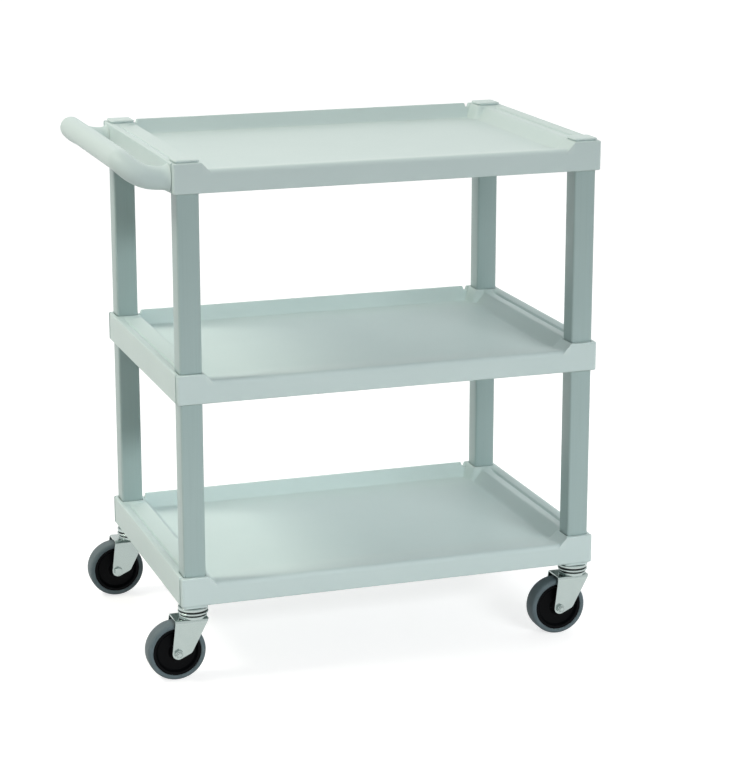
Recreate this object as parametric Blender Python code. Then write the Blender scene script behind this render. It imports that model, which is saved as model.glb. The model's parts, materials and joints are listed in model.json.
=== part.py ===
# Food service trolley: three moulded tray shelves on square posts, a push handle and four swivel casters.
# Metres, +Z up, standing on Z = 0. The low front lip faces -Y and the push handle is at the -X end.

import math

import bmesh
import bpy
from mathutils import Matrix, Vector
from mathutils.geometry import convex_hull_2d

# Clearance between pieces that touch
GAP = 0.0003

# Tray shelf: outside
SHELF_LENGTH = 0.745
SHELF_WIDTH = 0.500
SHELF_DEPTH = 0.050
SHELF_PITCH = 0.349              # rim to rim
SHELF_WALL = 0.004
LEDGE_THICKNESS = 0.0048
HOLLOW_DRAFT = 0.0008            # the underside draws in above the front lip
SHELF_CORNER_RADIUS = 0.006
RIM_ROUND = 0.0025
GROOVE_INSET = 0.009             # upright groove on the end walls, from the long face
GROOVE_WIDTH = 0.0016
GROOVE_DEPTH = 0.0010

# Tray shelf: lips, ledges and tray
TRAY_DEPTH = 0.025               # rim to tray floor
TRAY_CORNER_RADIUS = 0.022
END_LIP_WIDTH = 0.007
END_LIP_SLOPE = 0.0115
LEDGE_DROP = 0.004
LEFT_LEDGE_WIDTH = 0.0325        # the ledge at the handle's end is wider
RIGHT_LEDGE_WIDTH = 0.0155
END_SLOPE = 0.018
FRONT_LIP_WIDTH = 0.012
FRONT_LIP_DROP = 0.012
FRONT_LIP_ROUND = 0.008
FRONT_SLOPE = 0.082
FRONT_STRIP = 0.040              # the underside is lower this far behind the front face
BACK_LIP_WIDTH = 0.007
BACK_SLOPE = 0.012
NOTCH_DEPTH = 0.0075
NOTCH_WIDTH = 0.005

# Tray shelf: underside ribs and corner blocks
LONG_RIBS = 2
CROSS_RIBS = 3
RIB_THICKNESS = 0.003
LONG_RIB_DEPTH = 0.013           # below the tray
CROSS_RIB_DEPTH = 0.0105
RIB_ROOT = 0.002                 # into the end ledges
BLOCK_WALL = 0.003               # beside the socket, at the top of the block
BLOCK_SLOPE = 0.0085
BLOCK_DROP = 0.0006              # block top below the rim
SOCKET_WEB = 0.004
COLLAR_WALL = 0.0022
COLLAR_DROP = 0.005              # collar below the skirt

# Square posts and their caps
POST_SIZE = 0.038
POST_WALL = 0.0025
POST_CORNER_RADIUS = 0.004
POST_INSET = 0.007               # shelf face to post face
CAP_RISE = 0.005
CAP_ROUND = 0.0025
CAP_OVERHANG = 0.0018
CAP_PLUG = 0.010

# Push handle
HANDLE_OFFSET = 0.071            # end wall to the middle of the bar
HANDLE_BAR = 0.038
HANDLE_BEND = 0.038
HANDLE_DROP = 0.0265             # rim to the middle of each arm at the wall
HANDLE_RISE = 0.0265             # arm at the wall to the bar
HANDLE_SWEEP = 1.7               # power of the rise along the arm: 1 is straight
HANDLE_ARM_INSET = 0.031         # long face of the shelf to the middle of the arm
HANDLE_FLARE = 0.0035
HANDLE_FLARE_LENGTH = 0.007
HANDLE_SCREW = 0.005
HANDLE_SCREW_HEAD = 0.009
HANDLE_SCREW_HEAD_DEPTH = 0.0035
HANDLE_SCREW_GRIP = 0.022        # screw length inside the arm

# Caster wheel
WHEEL_DIAMETER = 0.1016
TYRE_WIDTH = 0.032
TYRE_THICKNESS = 0.0093
TYRE_SHOULDER = 0.005
CORE_RIM_WIDTH = 0.029
CORE_RIM_THICKNESS = 0.006
CORE_DISC_THICKNESS = 0.016
HUB_DIAMETER = 0.026
HUB_PLAY = 0.0008                # hub end to fork
SLEEVE_DIAMETER = 0.012

# Caster fork and swivel
CASTER_TRAIL = 0.032
FORK_OPENING = 0.042
FORK_SHEET = 0.0027
FORK_BEND = 0.005
FORK_EYE_RADIUS = 0.0105
FORK_HEEL_RADIUS = 0.008
FORK_HEEL_FORWARD = 0.0175       # heel centre from the axle
FORK_HEEL_UP = 0.0055
FORK_TAIL = 0.004                # crown past the axle
FORK_NOSE = 0.0215               # crown past the king pin
WHEEL_HEADROOM = 0.0035
RACE_RISE = 0.004
RACE_DIAMETER = 0.047
SWIVEL_OPENING = 0.0025
BALL_DIAMETER = 0.006
BALL_CIRCLE = 0.034
BALL_COUNT = 10
CUP_DIAMETER = 0.052
CUP_HEIGHT = 0.0118
CUP_FLANGE_DEPTH = 0.0035
CUP_NECK_DEPTH = 0.0012
KING_PIN = 0.010
KING_PIN_HEAD = 0.018
KING_PIN_HEAD_DEPTH = 0.004
STEM_DIAMETER = 0.011
STEM_LENGTH = 0.036
AXLE_DIAMETER = 0.008
AXLE_HEX = 0.013                 # across the flats of head and nut
AXLE_HEAD_DEPTH = 0.0055
AXLE_NUT_DEPTH = 0.0075
AXLE_NUT_COLLAR = 0.0022         # round end of the nut
AXLE_NUT_STEP = 0.0011
AXLE_TIP = 0.0015                # bolt past its nut
AXLE_CHAMFER = 0.001

# Facets
CORNER_STEPS = 2
BEND_STEPS = 6
BAR_SIDES = 12
WHEEL_SIDES = 20                 # a flat facet stands on the floor
SWIVEL_SIDES = 14
FORK_ARC_SIDES = 16
BALL_SIDES = 5
BOLT_SIDES = 12
SCREW_SIDES = 8

# Colours as linear RGB, with roughness and metallic values
FINISHES = {
    "shelf_plastic": ((0.56, 0.67, 0.64), 0.40, 0.0),
    "post_plastic": ((0.38, 0.49, 0.47), 0.35, 0.0),
    "black_nylon": ((0.02, 0.02, 0.022), 0.5, 0.0),
    "zinc_steel": ((0.75, 0.77, 0.75), 0.25, 1.0),
    "core_plastic": ((0.012, 0.012, 0.014), 0.45, 0.0),
    "grey_rubber": ((0.13, 0.16, 0.16), 0.7, 0.0),
}

# Places that follow from the sizes
POST_CENTRE_INSET = POST_INSET + POST_SIZE / 2
POST_X = SHELF_LENGTH / 2 - POST_CENTRE_INSET
POST_Y = SHELF_WIDTH / 2 - POST_CENTRE_INSET
SOCKET_SIZE = POST_SIZE + 2 * GAP
SOCKET_DEPTH = (SHELF_DEPTH - SOCKET_WEB) / 2
SHELF_X = (HANDLE_OFFSET + HANDLE_BAR / 2) / 2
AXLE_Z = WHEEL_DIAMETER / 2 * math.cos(math.pi / WHEEL_SIDES)
CROWN_UNDER = AXLE_Z + WHEEL_DIAMETER / 2 + WHEEL_HEADROOM
CROWN_TOP = CROWN_UNDER + FORK_SHEET
RACE_TOP = CROWN_TOP + RACE_RISE
CUP_BOTTOM = RACE_TOP + SWIVEL_OPENING
CUP_TOP = CUP_BOTTOM + CUP_HEIGHT
BOTTOM_RIM = CUP_TOP + GAP + COLLAR_DROP + SHELF_DEPTH
MIDDLE_RIM = BOTTOM_RIM + SHELF_PITCH
TOP_RIM = MIDDLE_RIM + SHELF_PITCH
CORNERS = {
    "front_left": (-1, -1),
    "front_right": (1, -1),
    "back_left": (-1, 1),
    "back_right": (1, 1),
}


# Rings, lofts and objects

def box_ring(x_low, x_high, y_low, y_high, z, radius, steps=CORNER_STEPS):
    """A level ring round a rectangle with rounded corners, or with cut corners at one step."""
    centres = [
        (x_high - radius, y_high - radius),
        (x_low + radius, y_high - radius),
        (x_low + radius, y_low + radius),
        (x_high - radius, y_low + radius),
    ]
    ring = []
    for quarter, (x, y) in enumerate(centres):
        for step in range(steps + 1):
            angle = (quarter + step / steps) * math.pi / 2
            ring.append(Vector((x + radius * math.cos(angle), y + radius * math.sin(angle), z)))
    return ring


def plain_ring(x_low, x_high, y_low, y_high, z):
    """A level ring round a rectangle with sharp corners."""
    corners = ((x_low, y_low), (x_high, y_low), (x_high, y_high), (x_low, y_high))
    return [Vector((x, y, z)) for x, y in corners]


def square_ring(x, y, z, size, radius, steps=CORNER_STEPS):
    """A level ring round a square on a centre."""
    half = size / 2
    return box_ring(x - half, x + half, y - half, y + half, z, radius, steps)


def circle_ring(x, y, z, radius, sides, phase=0.0):
    """A level ring round a circle."""
    turns = [(side + phase) * 2 * math.pi / sides for side in range(sides)]
    return [Vector((x + radius * math.cos(a), y + radius * math.sin(a), z)) for a in turns]


def add_loft(bm, rings, closed=False):
    """Skin a row of rings, capped at both ends or, when closed, joined from the last ring to the first."""
    rows = [[bm.verts.new(point) for point in ring] for ring in rings]
    pairs = list(zip(rows, rows[1:]))
    faces = []
    if closed:
        pairs.append((rows[-1], rows[0]))
    else:
        faces.append(bm.faces.new(list(reversed(rows[0]))))
        faces.append(bm.faces.new(rows[-1]))
    for low, high in pairs:
        count = len(low)
        for i in range(count):
            j = (i + 1) % count
            faces.append(bm.faces.new((low[i], low[j], high[j], high[i])))
    bmesh.ops.recalc_face_normals(bm, faces=faces)


def loft(*stacks, closed=False):
    """One bmesh holding a loft for each stack of rings."""
    bm = bmesh.new()
    for rings in stacks:
        add_loft(bm, rings, closed)
    return bm


def turned(profile, sides, closed=False, phase=0.0):
    """Turn a profile of (radius, height) points about Z."""
    return loft([circle_ring(0, 0, z, r, sides, phase) for r, z in profile], closed=closed)


def along_y(bm):
    """Lay a shape that was made about Z along Y."""
    bmesh.ops.rotate(bm, verts=bm.verts, matrix=Matrix.Rotation(-math.pi / 2, 3, "X"))
    return bm


def mesh_from(bm, name):
    mesh = bpy.data.meshes.new(name)
    bm.to_mesh(mesh)
    bm.free()
    return mesh


def combined(base, *steps):
    """Apply (operation, bmesh) Boolean steps to a base bmesh, and give the resulting mesh."""
    body = bpy.data.objects.new("body", mesh_from(base, "body"))
    bpy.context.collection.objects.link(body)
    for operation, tool_shape in steps:
        tool = bpy.data.objects.new("tool", mesh_from(tool_shape, "tool"))
        bpy.context.collection.objects.link(tool)
        modifier = body.modifiers.new("step", "BOOLEAN")
        modifier.operation = operation
        modifier.object = tool
        graph = bpy.context.evaluated_depsgraph_get()
        result = bpy.data.meshes.new_from_object(body.evaluated_get(graph))
        body.modifiers.clear()
        body.data = result
        bpy.data.objects.remove(tool)
    mesh = body.data
    bpy.data.objects.remove(body)
    merge_flat_faces(mesh)
    return mesh


def merge_flat_faces(mesh):
    """Join the faces that lie in one plane."""
    bm = bmesh.new()
    bm.from_mesh(mesh)
    bmesh.ops.dissolve_limit(bm, angle_limit=math.radians(0.1), verts=bm.verts, edges=bm.edges)
    bm.to_mesh(mesh)
    bm.free()


def add_piece(name, mesh, finish, place=(0, 0, 0), parent=None, smooth_angle=math.radians(35)):
    """Add one named piece of the trolley."""
    piece = bpy.data.objects.new(name, mesh)
    bpy.context.collection.objects.link(piece)
    piece.location = place
    piece.parent = parent
    mesh.materials.clear()
    mesh.materials.append(MATERIALS[finish])
    mesh.shade_smooth()
    mesh.set_sharp_from_angle(angle=smooth_angle)
    return piece


def add_empty(name, place, parent=None):
    empty = bpy.data.objects.new(name, None)
    bpy.context.collection.objects.link(empty)
    empty.location = place
    empty.parent = parent
    return empty


def make_materials():
    materials = {}
    for name, (colour, roughness, metallic) in FINISHES.items():
        material = bpy.data.materials.new(name)
        material.use_nodes = True
        shader = material.node_tree.nodes["Principled BSDF"]
        shader.inputs["Base Color"].default_value = (*colour, 1.0)
        shader.inputs["Roughness"].default_value = roughness
        shader.inputs["Metallic"].default_value = metallic
        materials[name] = material
    return materials


# Tray shelf, with its rim at Z = 0 and its middle on the Z axis

def shelf_ring(z, left, right, front, back, radius):
    """A level ring inset from the shelf's left, right, front and back faces."""
    x_low = -SHELF_LENGTH / 2 + left
    x_high = SHELF_LENGTH / 2 - right
    y_low = -SHELF_WIDTH / 2 + front
    y_high = SHELF_WIDTH / 2 - back
    return box_ring(x_low, x_high, y_low, y_high, z, radius)


def even_ring(z, inset, radius):
    """A level ring at the same inset from all the shelf's faces."""
    return shelf_ring(z, inset, inset, inset, inset, radius)


def shelf_outside():
    """The outer block, with its rim rounded over."""
    rings = [even_ring(-SHELF_DEPTH, 0, SHELF_CORNER_RADIUS)]
    for step in range(CORNER_STEPS + 1):
        angle = step / CORNER_STEPS * math.pi / 2
        inset = RIM_ROUND * (1 - math.cos(angle))
        z = RIM_ROUND * (math.sin(angle) - 1)
        rings.append(even_ring(z, inset, SHELF_CORNER_RADIUS - inset))
    return loft(rings)


def tray_levels():
    """Height, left, right, front and back insets and corner radius of the tray, from its floor to its ledges."""
    left = END_LIP_WIDTH + END_LIP_SLOPE + LEFT_LEDGE_WIDTH
    right = END_LIP_WIDTH + END_LIP_SLOPE + RIGHT_LEDGE_WIDTH
    climb = (TRAY_DEPTH - FRONT_LIP_DROP) / (TRAY_DEPTH - LEDGE_DROP)
    end_middle = END_SLOPE * (1 - climb)
    back_middle = BACK_LIP_WIDTH + BACK_SLOPE * (1 - climb)
    front_floor = FRONT_LIP_WIDTH + FRONT_SLOPE
    back_floor = BACK_LIP_WIDTH + BACK_SLOPE
    radius = TRAY_CORNER_RADIUS
    return [
        (-TRAY_DEPTH, left + END_SLOPE, right + END_SLOPE, front_floor, back_floor, radius),
        (-FRONT_LIP_DROP, left + end_middle, right + end_middle, FRONT_LIP_WIDTH, back_middle, radius),
        (-LEDGE_DROP, left, right, FRONT_LIP_WIDTH, BACK_LIP_WIDTH, radius),
    ]


def tray_cutter():
    """The space above the tray floor and its end ledges."""
    front = FRONT_LIP_WIDTH - GAP
    back = BACK_LIP_WIDTH - GAP
    lip_foot = END_LIP_WIDTH + END_LIP_SLOPE
    rings = [shelf_ring(*level) for level in tray_levels()]
    for z, end in ((GAP - LEDGE_DROP, lip_foot), (0, END_LIP_WIDTH), (SHELF_DEPTH, END_LIP_WIDTH)):
        rings.append(shelf_ring(z, end, end, front, back, SHELF_CORNER_RADIUS))
    return loft(rings)


def tray_shell():
    """The outside of the tray's wall, under the tray."""
    spread = SHELF_WALL / 2
    rings = []
    for z, *insets, radius in tray_levels():
        rings.append(shelf_ring(z - SHELF_WALL, *[inset - spread for inset in insets], radius))
    return loft(rings)


def hollow_cutter():
    """The open space under the shelf, lower behind the front lip."""
    step = -FRONT_LIP_DROP - SHELF_WALL
    roof = -LEDGE_DROP - LEDGE_THICKNESS
    drawn_in = SHELF_WALL + HOLLOW_DRAFT
    radius = SHELF_CORNER_RADIUS
    return loft([
        even_ring(-2 * SHELF_DEPTH, SHELF_WALL, radius),
        even_ring(step, SHELF_WALL, radius),
        shelf_ring(step, drawn_in, drawn_in, FRONT_STRIP, drawn_in, radius),
        shelf_ring(roof, drawn_in, drawn_in, FRONT_STRIP, drawn_in, radius),
    ])


def rib_stack(x_low, x_high, y_low, y_high, depth, root):
    """A rib from its foot, at a depth under the tray, up to its root in the ledges."""
    low = -TRAY_DEPTH - SHELF_WALL - depth
    high = -LEDGE_DROP - LEDGE_THICKNESS + root
    return [plain_ring(x_low, x_high, y_low, y_high, z) for z in (low, high)]


def long_ribs():
    reach = SHELF_LENGTH / 2 - SHELF_WALL / 2
    stacks = []
    for i in range(LONG_RIBS):
        y = SHELF_WIDTH * ((i + 1) / (LONG_RIBS + 1) - 0.5)
        sides = (y - RIB_THICKNESS / 2, y + RIB_THICKNESS / 2)
        stacks.append(rib_stack(-reach, reach, *sides, LONG_RIB_DEPTH, RIB_ROOT))
    return loft(*stacks)


def cross_ribs():
    reach_front = -SHELF_WIDTH / 2 + FRONT_STRIP
    reach_back = SHELF_WIDTH / 2 - SHELF_WALL / 2
    stacks = []
    for i in range(CROSS_RIBS):
        x = SHELF_LENGTH * ((i + 1) / (CROSS_RIBS + 1) - 0.5)
        sides = (x - RIB_THICKNESS / 2, x + RIB_THICKNESS / 2)
        stacks.append(rib_stack(*sides, reach_front, reach_back, CROSS_RIB_DEPTH, RIB_ROOT - GAP))
    return loft(*stacks)


def block_reach(z):
    """How far a corner block reaches from the shelf's faces at a height."""
    top = 2 * POST_CENTRE_INSET - POST_INSET + BLOCK_WALL
    return top + BLOCK_SLOPE * min(1.0, -z / FRONT_LIP_DROP)


def front_lip_cutter():
    """What is taken off the front rim between the corner blocks, leaving a rounded low lip."""
    face = -SHELF_WIDTH / 2
    profile = [(face - SHELF_DEPTH, SHELF_DEPTH), (face - SHELF_DEPTH, -FRONT_LIP_DROP - FRONT_LIP_ROUND)]
    for step in range(CORNER_STEPS + 1):
        angle = step / CORNER_STEPS * math.pi / 2
        y = face + FRONT_LIP_ROUND * (1 - math.cos(angle))
        z = -FRONT_LIP_DROP + FRONT_LIP_ROUND * (math.sin(angle) - 1)
        profile.append((y, z))
    profile.append((face + 2 * FRONT_LIP_WIDTH, -FRONT_LIP_DROP))
    profile.append((face + 2 * FRONT_LIP_WIDTH, SHELF_DEPTH))
    slope = BLOCK_SLOPE / FRONT_LIP_DROP
    ends = [SHELF_LENGTH / 2 - block_reach(0) + slope * z for y, z in profile]
    left = [Vector((-x, y, z)) for x, (y, z) in zip(ends, profile)]
    right = [Vector((x, y, z)) for x, (y, z) in zip(ends, profile)]
    return loft([left, right])


def notch_cutter():
    """The notch in the back lip beside each back corner block."""
    slope = BLOCK_SLOPE / FRONT_LIP_DROP
    outer = SHELF_LENGTH / 2 - block_reach(-NOTCH_DEPTH)
    rise = NOTCH_DEPTH + SHELF_DEPTH
    corners = [
        (outer, -NOTCH_DEPTH),
        (outer + slope * rise, SHELF_DEPTH),
        (outer - NOTCH_WIDTH - slope * rise / 2, SHELF_DEPTH),
        (outer - NOTCH_WIDTH, -NOTCH_DEPTH),
    ]
    y_low = SHELF_WIDTH / 2 - BACK_LIP_WIDTH - BACK_SLOPE / 2
    y_high = SHELF_WIDTH / 2 + SHELF_DEPTH
    stacks = []
    for side in (-1, 1):
        stacks.append([[Vector((side * x, y, z)) for x, z in corners] for y in (y_low, y_high)])
    return loft(*stacks)


def groove_cutter():
    """The upright groove near each corner on the end walls."""
    stacks = []
    for side_x, side_y in CORNERS.values():
        x = side_x * SHELF_LENGTH / 2
        y = side_y * (SHELF_WIDTH / 2 - GROOVE_INSET)
        x_low = x - GROOVE_DEPTH
        x_high = x + GROOVE_DEPTH
        half = GROOVE_WIDTH / 2
        heights = (-2 * SHELF_DEPTH, SHELF_DEPTH)
        stacks.append([plain_ring(x_low, x_high, y - half, y + half, z) for z in heights])
    return loft(*stacks)


def corner_box(side_x, side_y, z, outer, inner, radius):
    """A level ring in one corner of the shelf, between two insets from its faces."""
    x = sorted(side_x * (SHELF_LENGTH / 2 - inset) for inset in (outer, inner))
    y = sorted(side_y * (SHELF_WIDTH / 2 - inset) for inset in (outer, inner))
    return box_ring(x[0], x[1], y[0], y[1], z, radius, steps=1)


def corner_blocks():
    """The full-depth block in each corner, with the collar that hangs below the skirt."""
    outer = SHELF_WALL / 2
    foot = -SHELF_DEPTH + SHELF_WALL
    collar_size = SOCKET_SIZE + 2 * COLLAR_WALL
    collar_outer = POST_CENTRE_INSET - collar_size / 2
    collar_inner = POST_CENTRE_INSET + collar_size / 2
    radius = SHELF_CORNER_RADIUS
    stacks = []
    for side_x, side_y in CORNERS.values():
        rings = [corner_box(side_x, side_y, -BLOCK_DROP, outer, block_reach(0), radius)]
        for z in (-FRONT_LIP_DROP, foot):
            rings.append(corner_box(side_x, side_y, z, outer, block_reach(z), radius))
        for z in (foot, -SHELF_DEPTH - COLLAR_DROP):
            rings.append(corner_box(side_x, side_y, z, collar_outer, collar_inner, radius))
        stacks.append(rings)
    return loft(*stacks)


def socket_cutter():
    """The post sockets above and below each corner's web."""
    web_high = -SOCKET_DEPTH
    web_low = web_high - SOCKET_WEB
    half = SOCKET_SIZE / 2
    stacks = []
    for side_x, side_y in CORNERS.values():
        x = side_x * POST_X
        y = side_y * POST_Y
        for heights in ((-2 * SHELF_DEPTH, web_low), (web_high, SHELF_DEPTH)):
            stacks.append([plain_ring(x - half, x + half, y - half, y + half, z) for z in heights])
    return loft(*stacks)


def stem_hole_cutter():
    """The hole through each corner's web for a caster's stem."""
    radius = (STEM_DIAMETER / 2 + GAP) / math.cos(math.pi / SCREW_SIDES)
    stacks = []
    for side_x, side_y in CORNERS.values():
        x = side_x * POST_X
        y = side_y * POST_Y
        stacks.append([circle_ring(x, y, z, radius, SCREW_SIDES) for z in (-SHELF_DEPTH, 0)])
    return loft(*stacks)


def handle_screw_height():
    """Height of the handle screws below the rim, between the cap's plug and the socket web."""
    return -(CAP_PLUG + SOCKET_DEPTH) / 2


def screw_rod(radius, x_low, x_high, side_y):
    """A rod along X at a handle screw's place."""
    z = handle_screw_height()
    rings = []
    for x in (x_low, x_high):
        ring = circle_ring(0, 0, 0, radius, SCREW_SIDES)
        rings.append([Vector((x, side_y * POST_Y + point.x, z + point.y)) for point in ring])
    return rings


def shelf_mesh(handle_holes):
    """The whole moulding. The top shelf also has the handle's screw holes in its left end wall."""
    steps = [
        ("DIFFERENCE", hollow_cutter()),
        ("UNION", tray_shell()),
        ("UNION", long_ribs()),
        ("UNION", cross_ribs()),
        ("DIFFERENCE", tray_cutter()),
        ("DIFFERENCE", front_lip_cutter()),
        ("DIFFERENCE", notch_cutter()),
        ("DIFFERENCE", groove_cutter()),
        ("UNION", corner_blocks()),
        ("DIFFERENCE", socket_cutter()),
        ("DIFFERENCE", stem_hole_cutter()),
    ]
    if handle_holes:
        wall = -SHELF_LENGTH / 2
        radius = HANDLE_SCREW / 2 + GAP
        rods = [screw_rod(radius, wall - SHELF_WALL, wall + POST_CENTRE_INSET, side) for side in (-1, 1)]
        steps.append(("DIFFERENCE", loft(*rods)))
    return combined(shelf_outside(), *steps)


def add_shelves():
    plain = shelf_mesh(handle_holes=False)
    add_piece("top_shelf", shelf_mesh(handle_holes=True), "shelf_plastic", (SHELF_X, 0, TOP_RIM))
    add_piece("middle_shelf", plain, "shelf_plastic", (SHELF_X, 0, MIDDLE_RIM))
    add_piece("bottom_shelf", plain, "shelf_plastic", (SHELF_X, 0, BOTTOM_RIM))


# Square posts, seated on the socket webs, and the caps over the top sockets

def post_mesh(length):
    bore = POST_SIZE - 2 * POST_WALL
    bore_radius = POST_CORNER_RADIUS - POST_WALL
    return mesh_from(loft([
        square_ring(0, 0, 0, POST_SIZE, POST_CORNER_RADIUS),
        square_ring(0, 0, length, POST_SIZE, POST_CORNER_RADIUS),
        square_ring(0, 0, length, bore, bore_radius),
        square_ring(0, 0, 0, bore, bore_radius),
    ], closed=True), "post")


def add_posts():
    length = SHELF_PITCH - SOCKET_WEB - 2 * GAP
    mesh = post_mesh(length)
    for level, rim in (("upper", MIDDLE_RIM), ("lower", BOTTOM_RIM)):
        seat = rim - SOCKET_DEPTH + GAP
        for corner, (side_x, side_y) in CORNERS.items():
            place = (SHELF_X + side_x * POST_X, side_y * POST_Y, seat)
            add_piece(f"{level}_post_{corner}", mesh, "post_plastic", place)


def cap_mesh():
    plate = SOCKET_SIZE + 2 * CAP_OVERHANG
    radius = POST_CORNER_RADIUS + CAP_OVERHANG
    seat = GAP
    rings = [
        square_ring(0, 0, -CAP_PLUG, POST_SIZE - 2 * GAP, POST_CORNER_RADIUS),
        square_ring(0, 0, seat, POST_SIZE, POST_CORNER_RADIUS),
        square_ring(0, 0, seat, plate, radius),
    ]
    for step in range(CORNER_STEPS + 1):
        angle = step / CORNER_STEPS * math.pi / 2
        inset = CAP_ROUND * (1 - math.cos(angle))
        z = CAP_RISE + CAP_ROUND * (math.sin(angle) - 1)
        rings.append(square_ring(0, 0, z, plate - 2 * inset, radius - inset))
    return mesh_from(loft(rings), "post_cap")


def add_caps():
    mesh = cap_mesh()
    for corner, (side_x, side_y) in CORNERS.items():
        place = (SHELF_X + side_x * POST_X, side_y * POST_Y, TOP_RIM)
        add_piece(f"post_cap_{corner}", mesh, "shelf_plastic", place)


# Push handle: a round bar whose arms leave the end wall level and sweep up and round

def handle_point(out, y):
    """A point on the handle's middle line, by its distance from the end wall."""
    rise = HANDLE_RISE * (out / HANDLE_OFFSET) ** HANDLE_SWEEP
    return Vector((-SHELF_LENGTH / 2 - out, y, -HANDLE_DROP + rise))


def handle_line():
    """Points along one half of the handle, from the end wall to the middle of the bar, in +Y."""
    arm_y = SHELF_WIDTH / 2 - HANDLE_ARM_INSET
    straight = HANDLE_OFFSET - HANDLE_BEND
    arm = (GAP, HANDLE_FLARE_LENGTH, (HANDLE_FLARE_LENGTH + straight) / 2)
    line = [handle_point(out, arm_y) for out in arm]
    for step in range(BEND_STEPS + 1):
        angle = step / BEND_STEPS * math.pi / 2
        out = straight + HANDLE_BEND * math.sin(angle)
        line.append(handle_point(out, arm_y - HANDLE_BEND * (1 - math.cos(angle))))
    return line


def handle_mesh():
    half = handle_line()
    line = half + [Vector((point.x, -point.y, point.z)) for point in reversed(half)]
    ends = (0, len(line) - 1)
    rings = []
    for i, point in enumerate(line):
        before = line[max(i - 1, 0)]
        after = line[min(i + 1, len(line) - 1)]
        way = (after - before).normalized()
        radius = HANDLE_BAR / 2
        if i in ends:
            way = Vector((-1 if i == 0 else 1, 0, 0))
            radius += HANDLE_FLARE
        side = way.cross(Vector((0, 0, 1))).normalized()
        up = side.cross(way)
        ring = circle_ring(0, 0, 0, radius, BAR_SIDES)
        rings.append([point + side * offset.x + up * offset.y for offset in ring])
    wall = -SHELF_LENGTH / 2
    depth = HANDLE_SCREW_GRIP + HANDLE_SCREW
    bore = HANDLE_SCREW / 2 + GAP
    rods = [screw_rod(bore, wall - depth, wall + SHELF_WALL, side) for side in (-1, 1)]
    return combined(loft(rings), ("DIFFERENCE", loft(*rods)))


def handle_screw_mesh(side_y):
    """A pan-headed screw whose head bears on the inside of the top socket."""
    seat = -SHELF_LENGTH / 2 + POST_INSET
    tip = -SHELF_LENGTH / 2 - HANDLE_SCREW_GRIP
    head = seat + HANDLE_SCREW_HEAD_DEPTH
    rings = screw_rod(HANDLE_SCREW / 2, tip, seat, side_y)
    rings += screw_rod(HANDLE_SCREW_HEAD / 2, seat, head, side_y)
    return mesh_from(loft(rings), "handle_screw")


def add_handle():
    place = (SHELF_X, 0, TOP_RIM)
    add_piece("push_handle", handle_mesh(), "shelf_plastic", place, smooth_angle=math.radians(50))
    for name, side_y in (("front", -1), ("back", 1)):
        add_piece(f"handle_screw_{name}", handle_screw_mesh(side_y), "zinc_steel", place)


# Casters, each made about its swivel axis with the floor at Z = 0 and its wheel trailing to -X

def stem_socket_mesh():
    """The plug in the bottom shelf's lower socket that grips the caster's stem."""
    sides = 4 * (CORNER_STEPS + 1)
    low = CUP_TOP + GAP
    high = BOTTOM_RIM - SOCKET_DEPTH - SOCKET_WEB - GAP
    bore = STEM_DIAMETER / 2 + GAP
    return mesh_from(loft([
        square_ring(0, 0, low, POST_SIZE, POST_CORNER_RADIUS),
        square_ring(0, 0, high, POST_SIZE, POST_CORNER_RADIUS),
        circle_ring(0, 0, high, bore, sides, 0.5),
        circle_ring(0, 0, low, bore, sides, 0.5),
    ], closed=True), "stem_socket")


def groove_profile(level, way):
    """A ball groove in a face at a level, going in the way of +1 up or -1 down, from its inside edge out."""
    middle = BALL_CIRCLE / 2
    depth = (BALL_DIAMETER - SWIVEL_OPENING) / 2 + GAP
    half = BALL_DIAMETER / 2 + GAP
    bottom = level + way * depth
    return [
        (middle - half, level),
        (middle - half / 2, bottom),
        (middle + half / 2, bottom),
        (middle + half, level),
    ]


def stem_mesh():
    """Stem, bearing cup and king pin in one, riveted over under the fork's crown."""
    stem = STEM_DIAMETER / 2
    pin = KING_PIN / 2
    head = KING_PIN_HEAD / 2
    cup = CUP_DIAMETER / 2
    neck = cup - CUP_FLANGE_DEPTH
    flange_top = CUP_BOTTOM + CUP_FLANGE_DEPTH
    drum_low = flange_top + CUP_NECK_DEPTH
    head_top = CROWN_UNDER - GAP
    profile = [
        (head, head_top - KING_PIN_HEAD_DEPTH),
        (head, head_top),
        (pin, head_top),
        (pin, CUP_BOTTOM),
    ]
    profile += groove_profile(CUP_BOTTOM, 1)
    profile += [
        (cup, CUP_BOTTOM),
        (cup, flange_top),
        (neck, flange_top),
        (neck, drum_low),
        (cup, drum_low),
        (cup, CUP_TOP - CUP_NECK_DEPTH),
        (cup - CUP_NECK_DEPTH, CUP_TOP),
        (stem, CUP_TOP),
        (stem, CUP_TOP + STEM_LENGTH),
    ]
    return mesh_from(turned(profile, SWIVEL_SIDES), "caster_stem")


def ball_ring_mesh():
    """A full ring of swivel balls, each just joined to the next."""
    level = RACE_TOP + SWIVEL_OPENING / 2
    full = BALL_DIAMETER / 2
    waist = full / 2
    rings = []
    for i in range(2 * BALL_COUNT):
        angle = i / BALL_COUNT * math.pi
        radius = full if i % 2 else waist
        way = Vector((math.cos(angle), math.sin(angle), 0))
        ring = circle_ring(0, 0, 0, radius, BALL_SIDES)
        rings.append([way * (BALL_CIRCLE / 2 + p.x) + Vector((0, 0, level + p.y)) for p in ring])
    return mesh_from(loft(rings, closed=True), "ball_ring")


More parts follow.
